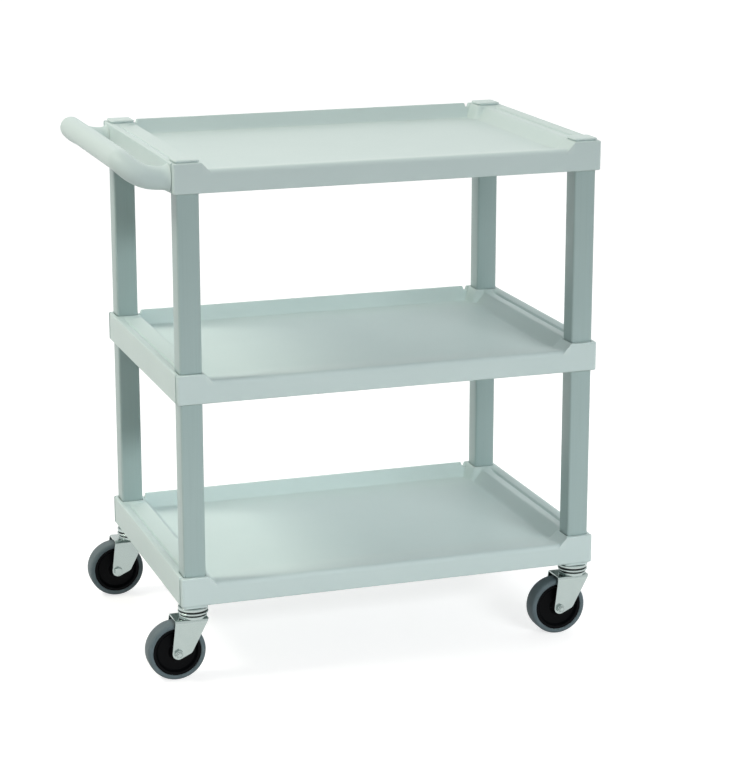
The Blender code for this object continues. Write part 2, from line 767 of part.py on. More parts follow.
def fork_channel():
    """The pressed U of the fork before its sides are trimmed, along X."""
    inner = FORK_OPENING / 2
    outer = inner + FORK_SHEET
    low = AXLE_Z - 2 * FORK_EYE_RADIUS
    inner_bend = FORK_BEND - FORK_SHEET
    half = [(outer, low)]
    for radius, side, top in ((FORK_BEND, outer, CROWN_TOP), (inner_bend, inner, CROWN_UNDER)):
        arc = []
        for step in range(CORNER_STEPS + 1):
            angle = step / CORNER_STEPS * math.pi / 2
            y = side - radius * (1 - math.cos(angle))
            z = top - radius * (1 - math.sin(angle))
            arc.append((y, z))
        if side == outer:
            half += arc
            half += [(-y, z) for y, z in reversed(arc)]
            half += [(-outer, low), (-inner, low)]
        else:
            half += [(-y, z) for y, z in arc]
            half += list(reversed(arc))
            half += [(inner, low)]
    reach = 2 * (CASTER_TRAIL + FORK_EYE_RADIUS)
    return loft([[Vector((x, y, z)) for y, z in half] for x in (-reach, reach)])


def fork_side():
    """The fork's outline from the side: the eye round the axle, the heel beside it, and the crown."""
    points = [(-CASTER_TRAIL - FORK_TAIL, CROWN_TOP), (FORK_NOSE, CROWN_TOP)]
    points += [(x, z + FORK_SHEET) for x, z in points]
    eye = circle_ring(-CASTER_TRAIL, AXLE_Z, 0, FORK_EYE_RADIUS, FORK_ARC_SIDES)
    heel_x = -CASTER_TRAIL + FORK_HEEL_FORWARD
    heel = circle_ring(heel_x, AXLE_Z + FORK_HEEL_UP, 0, FORK_HEEL_RADIUS, FORK_ARC_SIDES)
    points += [(p.x, p.y) for p in eye + heel]
    outline = [points[i] for i in convex_hull_2d(points)]
    reach = FORK_OPENING + FORK_SHEET
    return loft([[Vector((x, y, z)) for x, z in outline] for y in (-reach, reach)])


def fork_mesh():
    """The fork, with the raised race on its crown, the king pin's hole and the axle's holes."""
    hole = KING_PIN / 2 + GAP
    race_low = CROWN_TOP - FORK_SHEET / 2
    race = [(KING_PIN / 4, race_low), (RACE_DIAMETER / 2, race_low), (RACE_DIAMETER / 2, RACE_TOP)]
    race += list(reversed(groove_profile(RACE_TOP, -1)))
    race.append((KING_PIN / 4, RACE_TOP))
    pin_hole = [(hole, AXLE_Z), (hole, CUP_TOP)]
    axle_reach = FORK_OPENING
    axle_hole = along_y(turned([(AXLE_DIAMETER / 2 + GAP, z) for z in (-axle_reach, axle_reach)], BOLT_SIDES))
    bmesh.ops.translate(axle_hole, verts=axle_hole.verts, vec=(-CASTER_TRAIL, 0, AXLE_Z))
    return combined(
        fork_channel(),
        ("INTERSECT", fork_side()),
        ("UNION", turned(race, SWIVEL_SIDES)),
        ("DIFFERENCE", turned(pin_hole, BOLT_SIDES)),
        ("DIFFERENCE", axle_hole),
    )


def hex_ring(z, across_flats):
    """A level hexagon with a point in the middle of each flat."""
    ring = circle_ring(0, 0, z, across_flats / 2, BOLT_SIDES)
    corner = 1 / math.cos(math.pi / 6)
    return [p if i % 2 else Vector((p.x * corner, p.y * corner, z)) for i, p in enumerate(ring)]


def axle_bolt_mesh():
    """The bolt through both sides of the fork, its head at the back."""
    face = FORK_OPENING / 2 + FORK_SHEET + GAP
    nut_face = -face - AXLE_NUT_DEPTH
    radius = AXLE_DIAMETER / 2
    tip = nut_face - AXLE_TIP
    rings = [
        circle_ring(0, 0, tip, radius - AXLE_CHAMFER, BOLT_SIDES),
        circle_ring(0, 0, tip + AXLE_CHAMFER, radius, BOLT_SIDES),
        circle_ring(0, 0, face, radius, BOLT_SIDES),
        hex_ring(face, AXLE_HEX),
        hex_ring(face + AXLE_HEAD_DEPTH, AXLE_HEX - 2 * AXLE_CHAMFER),
    ]
    return mesh_from(along_y(loft(rings)), "axle_bolt")


def axle_nut_mesh():
    """The lock nut at the front, a hexagon with a round collar."""
    face = -FORK_OPENING / 2 - FORK_SHEET - GAP
    bore = AXLE_DIAMETER / 2 + GAP
    collar = AXLE_HEX / 2 - AXLE_NUT_STEP
    end = face - AXLE_NUT_DEPTH
    shoulder = end + AXLE_NUT_COLLAR
    rings = [
        circle_ring(0, 0, end, bore, BOLT_SIDES),
        circle_ring(0, 0, end, collar, BOLT_SIDES),
        circle_ring(0, 0, shoulder, collar, BOLT_SIDES),
        hex_ring(shoulder, AXLE_HEX),
        hex_ring(face, AXLE_HEX),
        circle_ring(0, 0, face, bore, BOLT_SIDES),
    ]
    return mesh_from(along_y(loft(rings, closed=True)), "axle_nut")


def axle_sleeve_mesh():
    """The tube between the fork's sides that the wheel turns on."""
    half = FORK_OPENING / 2 - GAP
    bore = AXLE_DIAMETER / 2 + GAP
    radius = SLEEVE_DIAMETER / 2
    profile = [(bore, -half), (radius, -half), (radius, half), (bore, half)]
    return mesh_from(along_y(turned(profile, BOLT_SIDES, closed=True)), "axle_sleeve")


def wheel_core_mesh():
    """The moulded core: hub, coned disc and rim."""
    bore = SLEEVE_DIAMETER / 2 + GAP
    hub = HUB_DIAMETER / 2
    hub_end = FORK_OPENING / 2 - HUB_PLAY
    disc = CORE_DISC_THICKNESS / 2
    rim_end = CORE_RIM_WIDTH / 2
    outside = WHEEL_DIAMETER / 2 - TYRE_THICKNESS
    half = [
        (bore, hub_end),
        (hub, hub_end),
        (outside - CORE_RIM_THICKNESS, disc),
        (outside, rim_end),
    ]
    profile = half + [(r, -z) for r, z in reversed(half)]
    return mesh_from(along_y(turned(profile, WHEEL_SIDES, closed=True, phase=0.5)), "wheel_core")


def tyre_mesh():
    """The rubber tyre, with rounded shoulders."""
    outside = WHEEL_DIAMETER / 2
    inside = outside - TYRE_THICKNESS + GAP
    side = TYRE_WIDTH / 2
    lean = TYRE_SHOULDER * (1 - math.sqrt(0.5))
    half = [
        (inside, side),
        (outside - TYRE_SHOULDER, side),
        (outside - lean, side - lean),
        (outside, side - TYRE_SHOULDER),
    ]
    profile = half + [(r, -z) for r, z in reversed(half)]
    return mesh_from(along_y(turned(profile, WHEEL_SIDES, closed=True, phase=0.5)), "tyre")


def add_casters():
    """Each caster's pieces, with every axle nut on the side that faces away from the trolley."""
    fixed = {"stem_socket": (stem_socket_mesh(), "black_nylon"), "caster_stem": (stem_mesh(), "zinc_steel")}
    swivelling = {"ball_ring": (ball_ring_mesh(), "zinc_steel"), "fork": (fork_mesh(), "zinc_steel")}
    on_axle = {
        "axle_bolt": (axle_bolt_mesh(), "zinc_steel"),
        "axle_nut": (axle_nut_mesh(), "zinc_steel"),
        "axle_sleeve": (axle_sleeve_mesh(), "zinc_steel"),
        "wheel_core": (wheel_core_mesh(), "core_plastic"),
        "tyre": (tyre_mesh(), "grey_rubber"),
    }
    for corner, (side_x, side_y) in CORNERS.items():
        swivel = add_empty(f"swivel_axis_{corner}", (SHELF_X + side_x * POST_X, side_y * POST_Y, 0))
        axle = add_empty(f"axle_axis_{corner}", (-CASTER_TRAIL, 0, AXLE_Z), swivel)
        for kind, (mesh, finish) in {**fixed, **swivelling}.items():
            add_piece(f"{kind}_{corner}", mesh, finish, parent=swivel)
        for kind, (mesh, finish) in on_axle.items():
            piece = add_piece(f"{kind}_{corner}", mesh, finish, parent=axle)
            piece.rotation_euler.z = math.pi if side_y > 0 else 0.0


for leftover in list(bpy.data.objects):
    bpy.data.objects.remove(leftover)
MATERIALS = make_materials()
add_shelves()
add_posts()
add_caps()
add_handle()
add_casters()
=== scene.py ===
# Food service trolley: three moulded tray shelves on square posts, a push handle and four swivel casters.
# Sizes are in millimetres in the part's own frame: +Z up, the low front lip at -Y, the handle at -X.

import json
import math

import bmesh
import bpy
import numpy as np
from mathutils import Matrix, Vector
from mathutils.geometry import convex_hull_2d

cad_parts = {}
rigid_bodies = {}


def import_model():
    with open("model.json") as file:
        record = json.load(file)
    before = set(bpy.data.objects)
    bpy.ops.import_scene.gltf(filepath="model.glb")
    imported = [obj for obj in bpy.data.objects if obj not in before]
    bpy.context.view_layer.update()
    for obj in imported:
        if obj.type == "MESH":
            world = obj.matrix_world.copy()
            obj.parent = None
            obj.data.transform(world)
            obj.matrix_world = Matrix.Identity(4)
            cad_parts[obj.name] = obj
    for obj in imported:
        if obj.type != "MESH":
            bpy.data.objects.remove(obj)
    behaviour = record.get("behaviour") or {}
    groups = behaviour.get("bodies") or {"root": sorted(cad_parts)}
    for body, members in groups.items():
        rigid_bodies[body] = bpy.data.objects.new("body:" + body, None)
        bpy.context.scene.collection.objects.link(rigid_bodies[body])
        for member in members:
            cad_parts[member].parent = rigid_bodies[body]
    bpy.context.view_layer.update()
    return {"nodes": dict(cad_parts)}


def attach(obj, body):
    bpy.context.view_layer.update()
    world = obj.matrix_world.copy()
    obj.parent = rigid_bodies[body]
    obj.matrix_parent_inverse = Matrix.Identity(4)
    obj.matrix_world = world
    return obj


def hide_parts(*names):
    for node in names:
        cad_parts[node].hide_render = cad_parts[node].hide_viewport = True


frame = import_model()


# Tray shelves: three like mouldings, each a sunk tray with a low front lip and higher end and back lips.
# Polypropylene, injection moulded in one shot, so the walls are even and every edge has a small radius.
# A block in each corner has a socket above and below its web, into which the posts are pushed.
MM = 0.001
SHELF_X = 45.0
LENGTH = 745.0
WIDTH = 500.0
DEPTH = 50.0
RIMS = {"bottom": 180.7746, "middle": 529.7746, "top": 878.7746}
RIM_ROUND = 2.5
CORNER_RADIUS = 6.0

# The tray lies off centre between a wide left and a narrow right ledge. A gutter sets each ledge off from
# its end lip, the back lip has a notch near each block, and a groove runs down the end walls.
TRAY_DEPTH = 25.0
TRAY_WALL = 4.0
TRAY_CORNER = 8.0
FLOOR_FILLET = 3.5
END_LIP = 7.0
END_LIP_SLOPE = 11.5
LIP_FILLET = 0.8
LEDGE_DROP = 4.0
LEDGE_FILLET = 2.4
LEFT_LEDGE = 51.0
RIGHT_LEDGE = 34.0
END_SLOPE = 18.0
GUTTER_INSET = 17.5
GUTTER_HALF = 3.08
GUTTER_SIDE = 2.2
GUTTER_DEPTH = 3.0
FRONT_LIP = 12.0
FRONT_LIP_DROP = 12.0
FRONT_LIP_ROUND = 8.0
FRONT_LIP_REACH = 14.0
FRONT_SLOPE = 82.0
FRONT_FILLET = 2.5
BACK_LIP = 7.0
BACK_LIP_FILLET = 1.0
BACK_SLOPE = 12.0
NOTCH_DEPTH = 7.5
NOTCH_X = 316.7
NOTCH_HALF = 2.5
NOTCH_DRAFT = 4.0
NOTCH_FILLET = 2.0
GROOVE_INSET = 9.0
GROOVE_DEPTH = 3.0
GROOVE_HALF = 3.0
GROOVE_SIDE = 0.4

# A draft is how much a moulded wall rises for each millimetre that it leans.
SKIRT = 4.0
SKIRT_ROUND = 2.0
SKIRT_DRAFT = 70.0
BLOCK_REACH = 48.0
BLOCK_ROUND = 6.0
BLOCK_TOP = 0.2
BLOCK_FILLET = 1.2
FRONT_BLOCK_SLOPE = 1.1
BACK_BLOCK_SLOPE = 2.4
LEDGE_BLOCK_SLOPE = 0.3
BLOCK_SLOPE_FROM = 30.0
BLOCK_SLOPE_RUN = 16.0
BLOCK_FOOT_FILLET = 4.0
BLOCK_SPREAD = 8.5
BLOCK_FOOT = 46.0
BLOCK_DRAFT = 60.0
POST_INSET = 26.0
SOCKET_HALF = 19.3
SOCKET_ROUND = 4.3
SOCKET_BEVEL = 1.4
SOCKET_BAND = 0.65
WEB_TOP = -23.0
WEB_UNDER = -27.0
COLLAR_HALF = 21.5
COLLAR_BAND = 0.5
POST_COLLAR_FOOT = 51.0
STEM_COLLAR_FOOT = 55.0
RIB_HALF = 1.2
RIB_FOOT_HALF = 1.7
RIB_DRAFT = 26.0
LONG_RIB_Y = WIDTH / 6
LONG_RIB_DEPTH = 42.0
CROSS_RIB_X = LENGTH / 4
CROSS_RIB_DEPTH = 39.5


def linear(text):
    """Linear RGBA from an sRGB hex value."""
    parts = [int(text[i:i + 2], 16) / 255 for i in (1, 3, 5)]
    return (*[c / 12.92 if c <= 0.04045 else ((c + 0.055) / 1.055) ** 2.4 for c in parts], 1.0)


def add_node(tree, kind, inputs=None, **settings):
    """Add a node with its settings; an input is given a value or linked from another node's output."""
    node = tree.nodes.new(kind)
    for name, value in settings.items():
        setattr(node, name, value)
    for name, value in (inputs or {}).items():
        if isinstance(value, bpy.types.NodeSocket):
            tree.links.new(value, node.inputs[name])
        else:
            node.inputs[name].default_value = value
    return node


def new_material(name, **values):
    """A material with its shader's own values set, with its node tree, shader and object coordinates."""
    material = bpy.data.materials.new(name)
    material.use_nodes = True
    tree = material.node_tree
    shader = tree.nodes["Principled BSDF"]
    for socket, value in values.items():
        shader.inputs[socket.replace("_", " ")].default_value = value
    place = add_node(tree, "ShaderNodeTexCoord").outputs["Object"]
    return material, tree, shader, place


# A colour Mix node's sockets go by number, because its sockets for other kinds of value share their names.
MIX_SHARE = 0
MIX_FIRST = 6
MIX_SECOND = 7
MIX_RESULT = 2

# Moulded polypropylene: waxy satin skin, broad faint clouding from the melt's flow, and a fine
# spark-eroded grain (about 0.4 mm, drawn at 3 mm so that it shows); raised edges are painted paler, partly
# as wear from handling and partly as a painted highlight.
polypropylene, tree, shader, place = new_material(
    "moulded polypropylene", IOR=1.49, Specular_IOR_Level=0.35,
)
cloud = add_node(tree, "ShaderNodeTexNoise", {"Vector": place, "Scale": 1 / (110 * MM), "Detail": 3.0})
grain = add_node(tree, "ShaderNodeTexNoise", {"Vector": place, "Scale": 1 / (3 * MM), "Detail": 4.0})
bent = add_node(tree, "ShaderNodeNewGeometry").outputs["Pointiness"]
# Pointiness paints the raised edges paler: partly handling wear, partly a painted highlight.
wear_and_highlight = add_node(tree, "ShaderNodeMapRange", {
    "Value": bent, "From Min": 0.52, "From Max": 0.60, "To Max": 0.6,
})
skin = add_node(tree, "ShaderNodeMix", {
    MIX_SHARE: cloud.outputs["Fac"], MIX_FIRST: linear("#C5D6D4"), MIX_SECOND: linear("#CBDBD9"),
}, data_type="RGBA")
worn_and_highlit_skin = add_node(tree, "ShaderNodeMix", {
    MIX_SHARE: wear_and_highlight.outputs["Result"], MIX_FIRST: skin.outputs[MIX_RESULT],
    MIX_SECOND: linear("#DDE8E6"),
}, data_type="RGBA")
tree.links.new(worn_and_highlit_skin.outputs[MIX_RESULT], shader.inputs["Base Color"])
satin = add_node(tree, "ShaderNodeMapRange", {
    "Value": grain.outputs["Fac"], "From Min": 0.3, "From Max": 0.7, "To Min": 0.46, "To Max": 0.56,
})
tree.links.new(satin.outputs["Result"], shader.inputs["Roughness"])
relief = add_node(tree, "ShaderNodeBump", {
    "Height": grain.outputs["Fac"], "Strength": 0.10, "Distance": 0.3 * MM,
})
tree.links.new(relief.outputs["Normal"], shader.inputs["Normal"])


def rounded_max(a, b, fillet):
    """The higher of two surfaces, with a fillet where they meet."""
    near = np.maximum(fillet - np.abs(a - b), 0)
    return np.maximum(a, b) + near * near / (4 * fillet)


def rounded_min(a, b, fillet):
    """The lower of two surfaces, with a rounded edge where they meet."""
    return -rounded_max(-a, -b, fillet)


def round_over(inset, radius):
    """Drop of a rounded edge at an inset from its face."""
    short = radius - np.minimum(inset, radius)
    return radius - np.sqrt(np.maximum(radius * radius - short * short, 0))


def tray(x, end, front, back):
    """Height of the tray with its ledges and lips, by the insets from the end, front and back faces."""
    level = np.zeros_like(end)
    ends = rounded_min(level, -(end - END_LIP) * LEDGE_DROP / END_LIP_SLOPE, LIP_FILLET)
    ends = rounded_max(ends, level - LEDGE_DROP, LIP_FILLET)
    ends -= GUTTER_DEPTH * np.clip((GUTTER_HALF - np.abs(end - GUTTER_INSET)) / GUTTER_SIDE, 0, 1)
    ledge = np.where(x < 0, LEFT_LEDGE, RIGHT_LEDGE)
    fall = (TRAY_DEPTH - LEDGE_DROP) / END_SLOPE
    ends = rounded_min(ends, -LEDGE_DROP - (end - ledge) * fall, LEDGE_FILLET)
    backs = rounded_min(level, -(back - BACK_LIP) * TRAY_DEPTH / BACK_SLOPE, BACK_LIP_FILLET)
    aside = np.maximum(np.abs(np.abs(x) - NOTCH_X) - NOTCH_HALF, 0)
    backs = rounded_min(backs, -NOTCH_DEPTH + NOTCH_DRAFT * aside, NOTCH_FILLET)
    fall = (TRAY_DEPTH - FRONT_LIP_DROP) / FRONT_SLOPE
    fronts = rounded_min(level - FRONT_LIP_DROP, -FRONT_LIP_DROP - (front - FRONT_LIP) * fall, LIP_FILLET)
    sides = rounded_max(ends, backs, TRAY_CORNER)
    on_back_lip = back < BACK_LIP + BACK_LIP_FILLET
    sides = np.where(on_back_lip, rounded_max(ends, backs, BACK_LIP_FILLET), sides)
    floor = rounded_max(rounded_max(sides, level - TRAY_DEPTH, FLOOR_FILLET), fronts, FRONT_FILLET)
    lip = -FRONT_LIP_DROP - round_over(front, FRONT_LIP_ROUND)
    return np.where(front > FRONT_LIP_REACH, floor, np.minimum(floor, lip))


def block_distance(end, side):
    """Plan distance outside a corner block with a rounded inner corner."""
    a = end - BLOCK_REACH + BLOCK_ROUND
    b = side - BLOCK_REACH + BLOCK_ROUND
    return np.hypot(np.maximum(a, 0), np.maximum(b, 0)) + np.minimum(np.maximum(a, b), 0) - BLOCK_ROUND


def shelf_top(x, end, front, back):
    """Height of everything that shows from above."""
    side = np.minimum(front, back)
    out = block_distance(end, side)
    slope = np.where(front < back, FRONT_BLOCK_SLOPE, BACK_BLOCK_SLOPE)
    share = np.clip((end - BLOCK_SLOPE_FROM) / BLOCK_SLOPE_RUN, 0, 1)
    steep = LEDGE_BLOCK_SLOPE + (slope - LEDGE_BLOCK_SLOPE) * share
    block = rounded_min(np.full_like(out, -BLOCK_TOP), -BLOCK_TOP - steep * out, BLOCK_FILLET)
    height = rounded_max(tray(x, end, front, back), block, BLOCK_FOOT_FILLET)
    return np.minimum(height, -round_over(np.minimum(end, side), RIM_ROUND))


def shelf_under(x, y, end, front, back, collar_foot):
    """Height of the skirt, ribs, blocks and collars that show from below."""
    spread = TRAY_WALL / 2
    height = tray(x, end + spread, front + spread, back + spread) - TRAY_WALL
    aside = np.abs(np.abs(y) - LONG_RIB_Y)
    height = np.minimum(height, -LONG_RIB_DEPTH + RIB_DRAFT * np.maximum(aside - RIB_HALF, 0))
    aside = np.minimum(np.abs(x), np.abs(np.abs(x) - CROSS_RIB_X))
    height = np.minimum(height, -CROSS_RIB_DEPTH + RIB_DRAFT * np.maximum(aside - RIB_HALF, 0))
    side = np.minimum(front, back)
    out = block_distance(end, side) - BLOCK_SPREAD
    height = np.minimum(height, -BLOCK_FOOT + BLOCK_DRAFT * np.maximum(out, 0))
    off = np.maximum(np.abs(end - POST_INSET), np.abs(side - POST_INSET))
    height = np.minimum(height, -collar_foot + RIB_DRAFT * np.maximum(off - COLLAR_HALF, 0))
    edge = np.minimum(end, side)
    skirt = -DEPTH + round_over(edge, SKIRT_ROUND) + SKIRT_DRAFT * np.maximum(edge - SKIRT, 0)
    return np.minimum(height, skirt)


# Insets at which the surface turns, heights of the lines round the outer wall, and the grid's tolerances.
RIM_LINES = (3.2, SKIRT, 4.5, 5.2, 6.0, 6.1, 6.7, 7.6)
GUTTER_LINES = (14.4, 16.6, 17.5, 18.4, 20.6)
LEDGE_LINES = (14.0, 16.5, 18.5, 20.5, 24.0, 29.0, 31.5, 32.8, 34.0, 35.2, 36.5, 38.0)
BLOCK_LINES = (45.3, 45.9, 46.7, 47.5, 48.0, 49.0, 49.6, 50.4, 51.2, 52.2, 53.4, 54.8, 56.25, 57.5, 58.7)
FLOOR_LINES = (60.0, 60.4, 61.25, 61.7, 62.3, 62.9, 63.5, 64.5, 66.0, 68.5, 71.0, 74.0, 78.0)
SLOPE_LINES = (84.0, 89.0, 94.0, 99.0, 106.0)
EVEN_LINES_FROM = 120.0
EVEN_LINES_STEP = 14.0
EVEN_LINES_END = 4.0
WALL_LINES = (-22.0, -46.0)
RIB_CLEAR = 3.0
MIDDLE_CLEAR = 0.5
LINE_GAP = 0.05
SAME = 0.01
NO_LENGTH = 1e-9
MERGE = 0.001


def shelf_lines(half, extra, ribs):
    """Grid lines across the shelf, close together where the surface turns."""
    rim = [RIM_ROUND * (1 - math.cos(math.radians(a))) for a in range(0, 91, 18)]
    turns = [SOCKET_ROUND * (1 - math.tan(math.radians(a))) for a in (30, 15, 0)]
    outer = [POST_INSET - SOCKET_HALF + turn for turn in turns]
    inner = [2 * POST_INSET - inset for inset in outer]
    insets = [*rim, *outer, *inner, *extra]
    insets += [*RIM_LINES, *LEDGE_LINES, *BLOCK_LINES, *FLOOR_LINES, *SLOPE_LINES]
    for rib in ribs:
        insets += [rib + way * width for way in (-1, 1) for width in (RIB_HALF, RIB_FOOT_HALF)]
    insets += list(np.arange(EVEN_LINES_FROM, half - EVEN_LINES_END, EVEN_LINES_STEP))
    kept = []
    for inset in sorted(insets):
        close_to_rib = any(SAME < abs(inset - rib) - RIB_FOOT_HALF < RIB_CLEAR for rib in ribs)
        apart = not kept or inset - kept[-1] > LINE_GAP
        if inset < half - MIDDLE_CLEAR and apart and not close_to_rib:
            kept.append(inset)
    low = np.array(kept) - half
    return np.concatenate([low, -low[::-1]])


def turned_corner(p, centre, reach):
    """Move points in the corner square beyond a centre on to arcs about it, out to a reach."""
    d = p - centre
    size = np.abs(d).max(axis=-1)
    length = np.maximum(np.hypot(d[..., 0], d[..., 1]), NO_LENGTH)
    return np.where((size <= reach)[..., None], centre + d * (size / length)[..., None], p)


def shelf_plan(inset, off, band):
    """The grid's insets, made round at the corners and, out to a band, the sockets, with the grooves."""
    in_corner = (inset < CORNER_RADIUS).all(axis=-1)
    rounded = turned_corner(inset, np.array([CORNER_RADIUS] * 2), CORNER_RADIUS)
    plan = np.where(in_corner[..., None], rounded, inset)
    round_socket = (off > SOCKET_HALF - SAME) & (off < band + SAME)
    for way in np.array([(-1, -1), (-1, 1), (1, -1), (1, 1)]):
        centre = POST_INSET + way * (SOCKET_HALF - SOCKET_ROUND)
        here = round_socket & ((inset - centre) * way > 0).all(axis=-1)
        plan = np.where(here[..., None], turned_corner(inset, centre, band), plan)
    end, side = inset[..., 0], inset[..., 1]
    in_groove = (np.abs(side - GROOVE_INSET) < GROOVE_HALF + GROOVE_SIDE / 2) & (end < GROOVE_DEPTH)
    plan[..., 0] = np.where(in_groove, GROOVE_DEPTH, plan[..., 0])
    return plan


def shelf_faces(xs, ys):
    """Quads of the top and the underside, left out over the sockets, and the ring of outermost points."""
    count_x, count_y = len(xs), len(ys)
    total = count_x * count_y
    off_x = np.abs(LENGTH / 2 - np.abs((xs[1:] + xs[:-1]) / 2) - POST_INSET)
    off_y = np.abs(WIDTH / 2 - np.abs((ys[1:] + ys[:-1]) / 2) - POST_INSET)
    faces = []
    for i in range(count_x - 1):
        for j in range(count_y - 1):
            if max(off_x[i], off_y[j]) > SOCKET_HALF:
                a = i * count_y + j
                b = a + count_y
                faces.append((a, b, b + 1, a + 1))
                faces.append((total + a, total + a + 1, total + b + 1, total + b))
    ring = [i * count_y for i in range(count_x)]
    ring += [(count_x - 1) * count_y + j for j in range(1, count_y)]
    ring += [i * count_y + count_y - 1 for i in range(count_x - 2, -1, -1)]
    ring += list(range(count_y - 2, 0, -1))
    return faces, ring


def sink_sockets(mesh):
    """Merge a shelf's doubled points, wall its open sockets down to the web and close them with it."""
    bm = bmesh.new()
    bm.from_mesh(mesh)
    bmesh.ops.remove_doubles(bm, verts=bm.verts, dist=MERGE * MM)
    sunk = {}
    for edge in [e for e in bm.edges if e.is_boundary]:
        for v in edge.verts:
            if v not in sunk:
                web = WEB_TOP if v.co.z > -DEPTH / 2 * MM else WEB_UNDER
                sunk[v] = bm.verts.new((v.co.x, v.co.y, web * MM))
        a, b = edge.verts
        bm.faces.new((a, b, sunk[b], sunk[a]))
    bmesh.ops.holes_fill(bm, edges=[e for e in bm.edges if e.is_boundary], sides=0)
    bmesh.ops.recalc_face_normals(bm, faces=bm.faces)
    bm.to_mesh(mesh)
    bm.free()


def shelf_mesh(collar_foot):
    """The whole moulding, its rim at Z = 0, as a top and an underside on one set of grid lines."""
    half_l, half_w = LENGTH / 2, WIDTH / 2
    sides = (GROOVE_HALF, GROOVE_HALF + GROOVE_SIDE)
    groove_lines = [GROOVE_INSET + way * side for way in (-1, 1) for side in sides]
    xs = shelf_lines(half_l, GUTTER_LINES, [half_l - CROSS_RIB_X, half_l])
    ys = shelf_lines(half_w, groove_lines, [half_w - LONG_RIB_Y])
    x, y = np.meshgrid(xs, ys, indexing="ij")
    end, front, back = half_l - np.abs(x), y + half_w, half_w - y
    inset = np.stack([end, np.minimum(front, back)], axis=-1)
    sign = np.stack([np.sign(x), np.sign(y)], axis=-1)
    off = np.abs(inset - POST_INSET).max(axis=-1)
    on_socket = np.abs(off - SOCKET_HALF) < SAME
    top = shelf_top(x, end, front, back) - SOCKET_BEVEL * on_socket
    under = shelf_under(x, y, end, front, back, collar_foot)
    sheets = []
    for z, band in ((top, SOCKET_HALF + SOCKET_BAND), (under, COLLAR_HALF + COLLAR_BAND)):
        flat = (np.array([half_l, half_w]) - shelf_plan(inset, off, band)) * sign
        sheets.append(np.concatenate([flat, z[..., None]], axis=-1).reshape(-1, 3))
    points = np.concatenate(sheets)
    faces, ring = shelf_faces(xs, ys)
    rows = [ring]
    for level in WALL_LINES:
        rows.append(list(range(len(points), len(points) + len(ring))))
        points = np.concatenate([points, points[ring] * (1, 1, 0) + (0, 0, level)])
    rows.append([x.size + a for a in ring])
    for high, low in zip(rows, rows[1:]):
        for k in range(len(ring)):
            faces.append((high[k - 1], low[k - 1], low[k], high[k]))
    mesh = bpy.data.meshes.new("tray_shelf")
    mesh.from_pydata(points * MM, [], faces)
    sink_sockets(mesh)
    return mesh


def add_piece(name, mesh, material, body, nodes, shift=(0, 0, 0), turn=0.0, sharp=40.0):
    """Put a copy of a mesh in its place as a piece that rides on a body and stands for CAD nodes."""
    mesh = mesh.copy()
    mesh.transform(Matrix.Translation(Vector(shift) * MM) @ Matrix.Rotation(turn, 4, "Z"))
    piece = bpy.data.objects.new(name, mesh)
    bpy.context.scene.collection.objects.link(piece)
    mesh.materials.clear()
    mesh.materials.append(material)
    mesh.shade_smooth()
    mesh.set_sharp_from_angle(angle=math.radians(sharp))
    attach(piece, body)
    if nodes:
        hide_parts(*nodes)


for level, rim in RIMS.items():
    moulding = shelf_mesh(STEM_COLLAR_FOOT if level == "bottom" else POST_COLLAR_FOOT)
    add_piece(f"tray_shelf_{level}", moulding, polypropylene, "trolley", [f"{level}_shelf"],
              (SHELF_X, 0, rim))


# Corner posts: square tubes pushed into the shelves' sockets, one length between each two shelves.
# Extruded PVC, a little darker and bluer than the shelves, cut to length and held by their fit.
# The lower end is cut back to a spigot, so that a dark line shows where the post leaves the shelf.
POST_X = LENGTH / 2 - POST_INSET
POST_Y = WIDTH / 2 - POST_INSET
CORNERS = {
    "front_left": (SHELF_X - POST_X, -POST_Y),
    "front_right": (SHELF_X + POST_X, -POST_Y),
    "back_left": (SHELF_X - POST_X, POST_Y),
    "back_right": (SHELF_X + POST_X, POST_Y),
}
POST_HALF = 19.0
POST_ROUND = 4.0
POST_WALL = 2.5
POST_LENGTH = 344.4
POST_SEAT = 0.3
POST_BEVEL = 0.2
SPIGOT_STEP = 1.0
SPIGOT_RISE = 1.2

# Extruded PVC: an even satin skin with faint lengthwise die lines, about 0.5 mm apart on the real
# tube and drawn 2.5 mm apart, and a slow drift of shade along the length.
extruded_pvc, tree, shader, place = new_material("extruded PVC", IOR=1.53, Specular_IOR_Level=0.5)
drawn = add_node(tree, "ShaderNodeMapping", {"Vector": place, "Scale": (1.0, 1.0, 0.012)})
lines = add_node(tree, "ShaderNodeTexNoise", {
    "Vector": drawn.outputs["Vector"], "Scale": 1 / (2.5 * MM), "Detail": 2.0,
})
drift = add_node(tree, "ShaderNodeTexNoise", {"Vector": place, "Scale": 1 / (160 * MM), "Detail": 2.0})
shade = add_node(tree, "ShaderNodeMix", {
    MIX_SHARE: drift.outputs["Fac"], MIX_FIRST: linear("#9CB1AF"), MIX_SECOND: linear("#A4B8B6"),
}, data_type="RGBA")
streak = add_node(tree, "ShaderNodeMapRange", {
    "Value": lines.outputs["Fac"], "From Min": 0.45, "From Max": 0.75, "To Max": 0.22,
})
skin = add_node(tree, "ShaderNodeMix", {
    MIX_SHARE: streak.outputs["Result"], MIX_FIRST: shade.outputs[MIX_RESULT],
    MIX_SECOND: linear("#91A6A4"),
}, data_type="RGBA")
tree.links.new(skin.outputs[MIX_RESULT], shader.inputs["Base Color"])
satin = add_node(tree, "ShaderNodeMapRange", {
    "Value": lines.outputs["Fac"], "From Min": 0.3, "From Max": 0.7, "To Min": 0.36, "To Max": 0.46,
})
tree.links.new(satin.outputs["Result"], shader.inputs["Roughness"])
relief = add_node(tree, "ShaderNodeBump", {
    "Height": lines.outputs["Fac"], "Strength": 0.08, "Distance": 0.2 * MM,
})
tree.links.new(relief.outputs["Normal"], shader.inputs["Normal"])


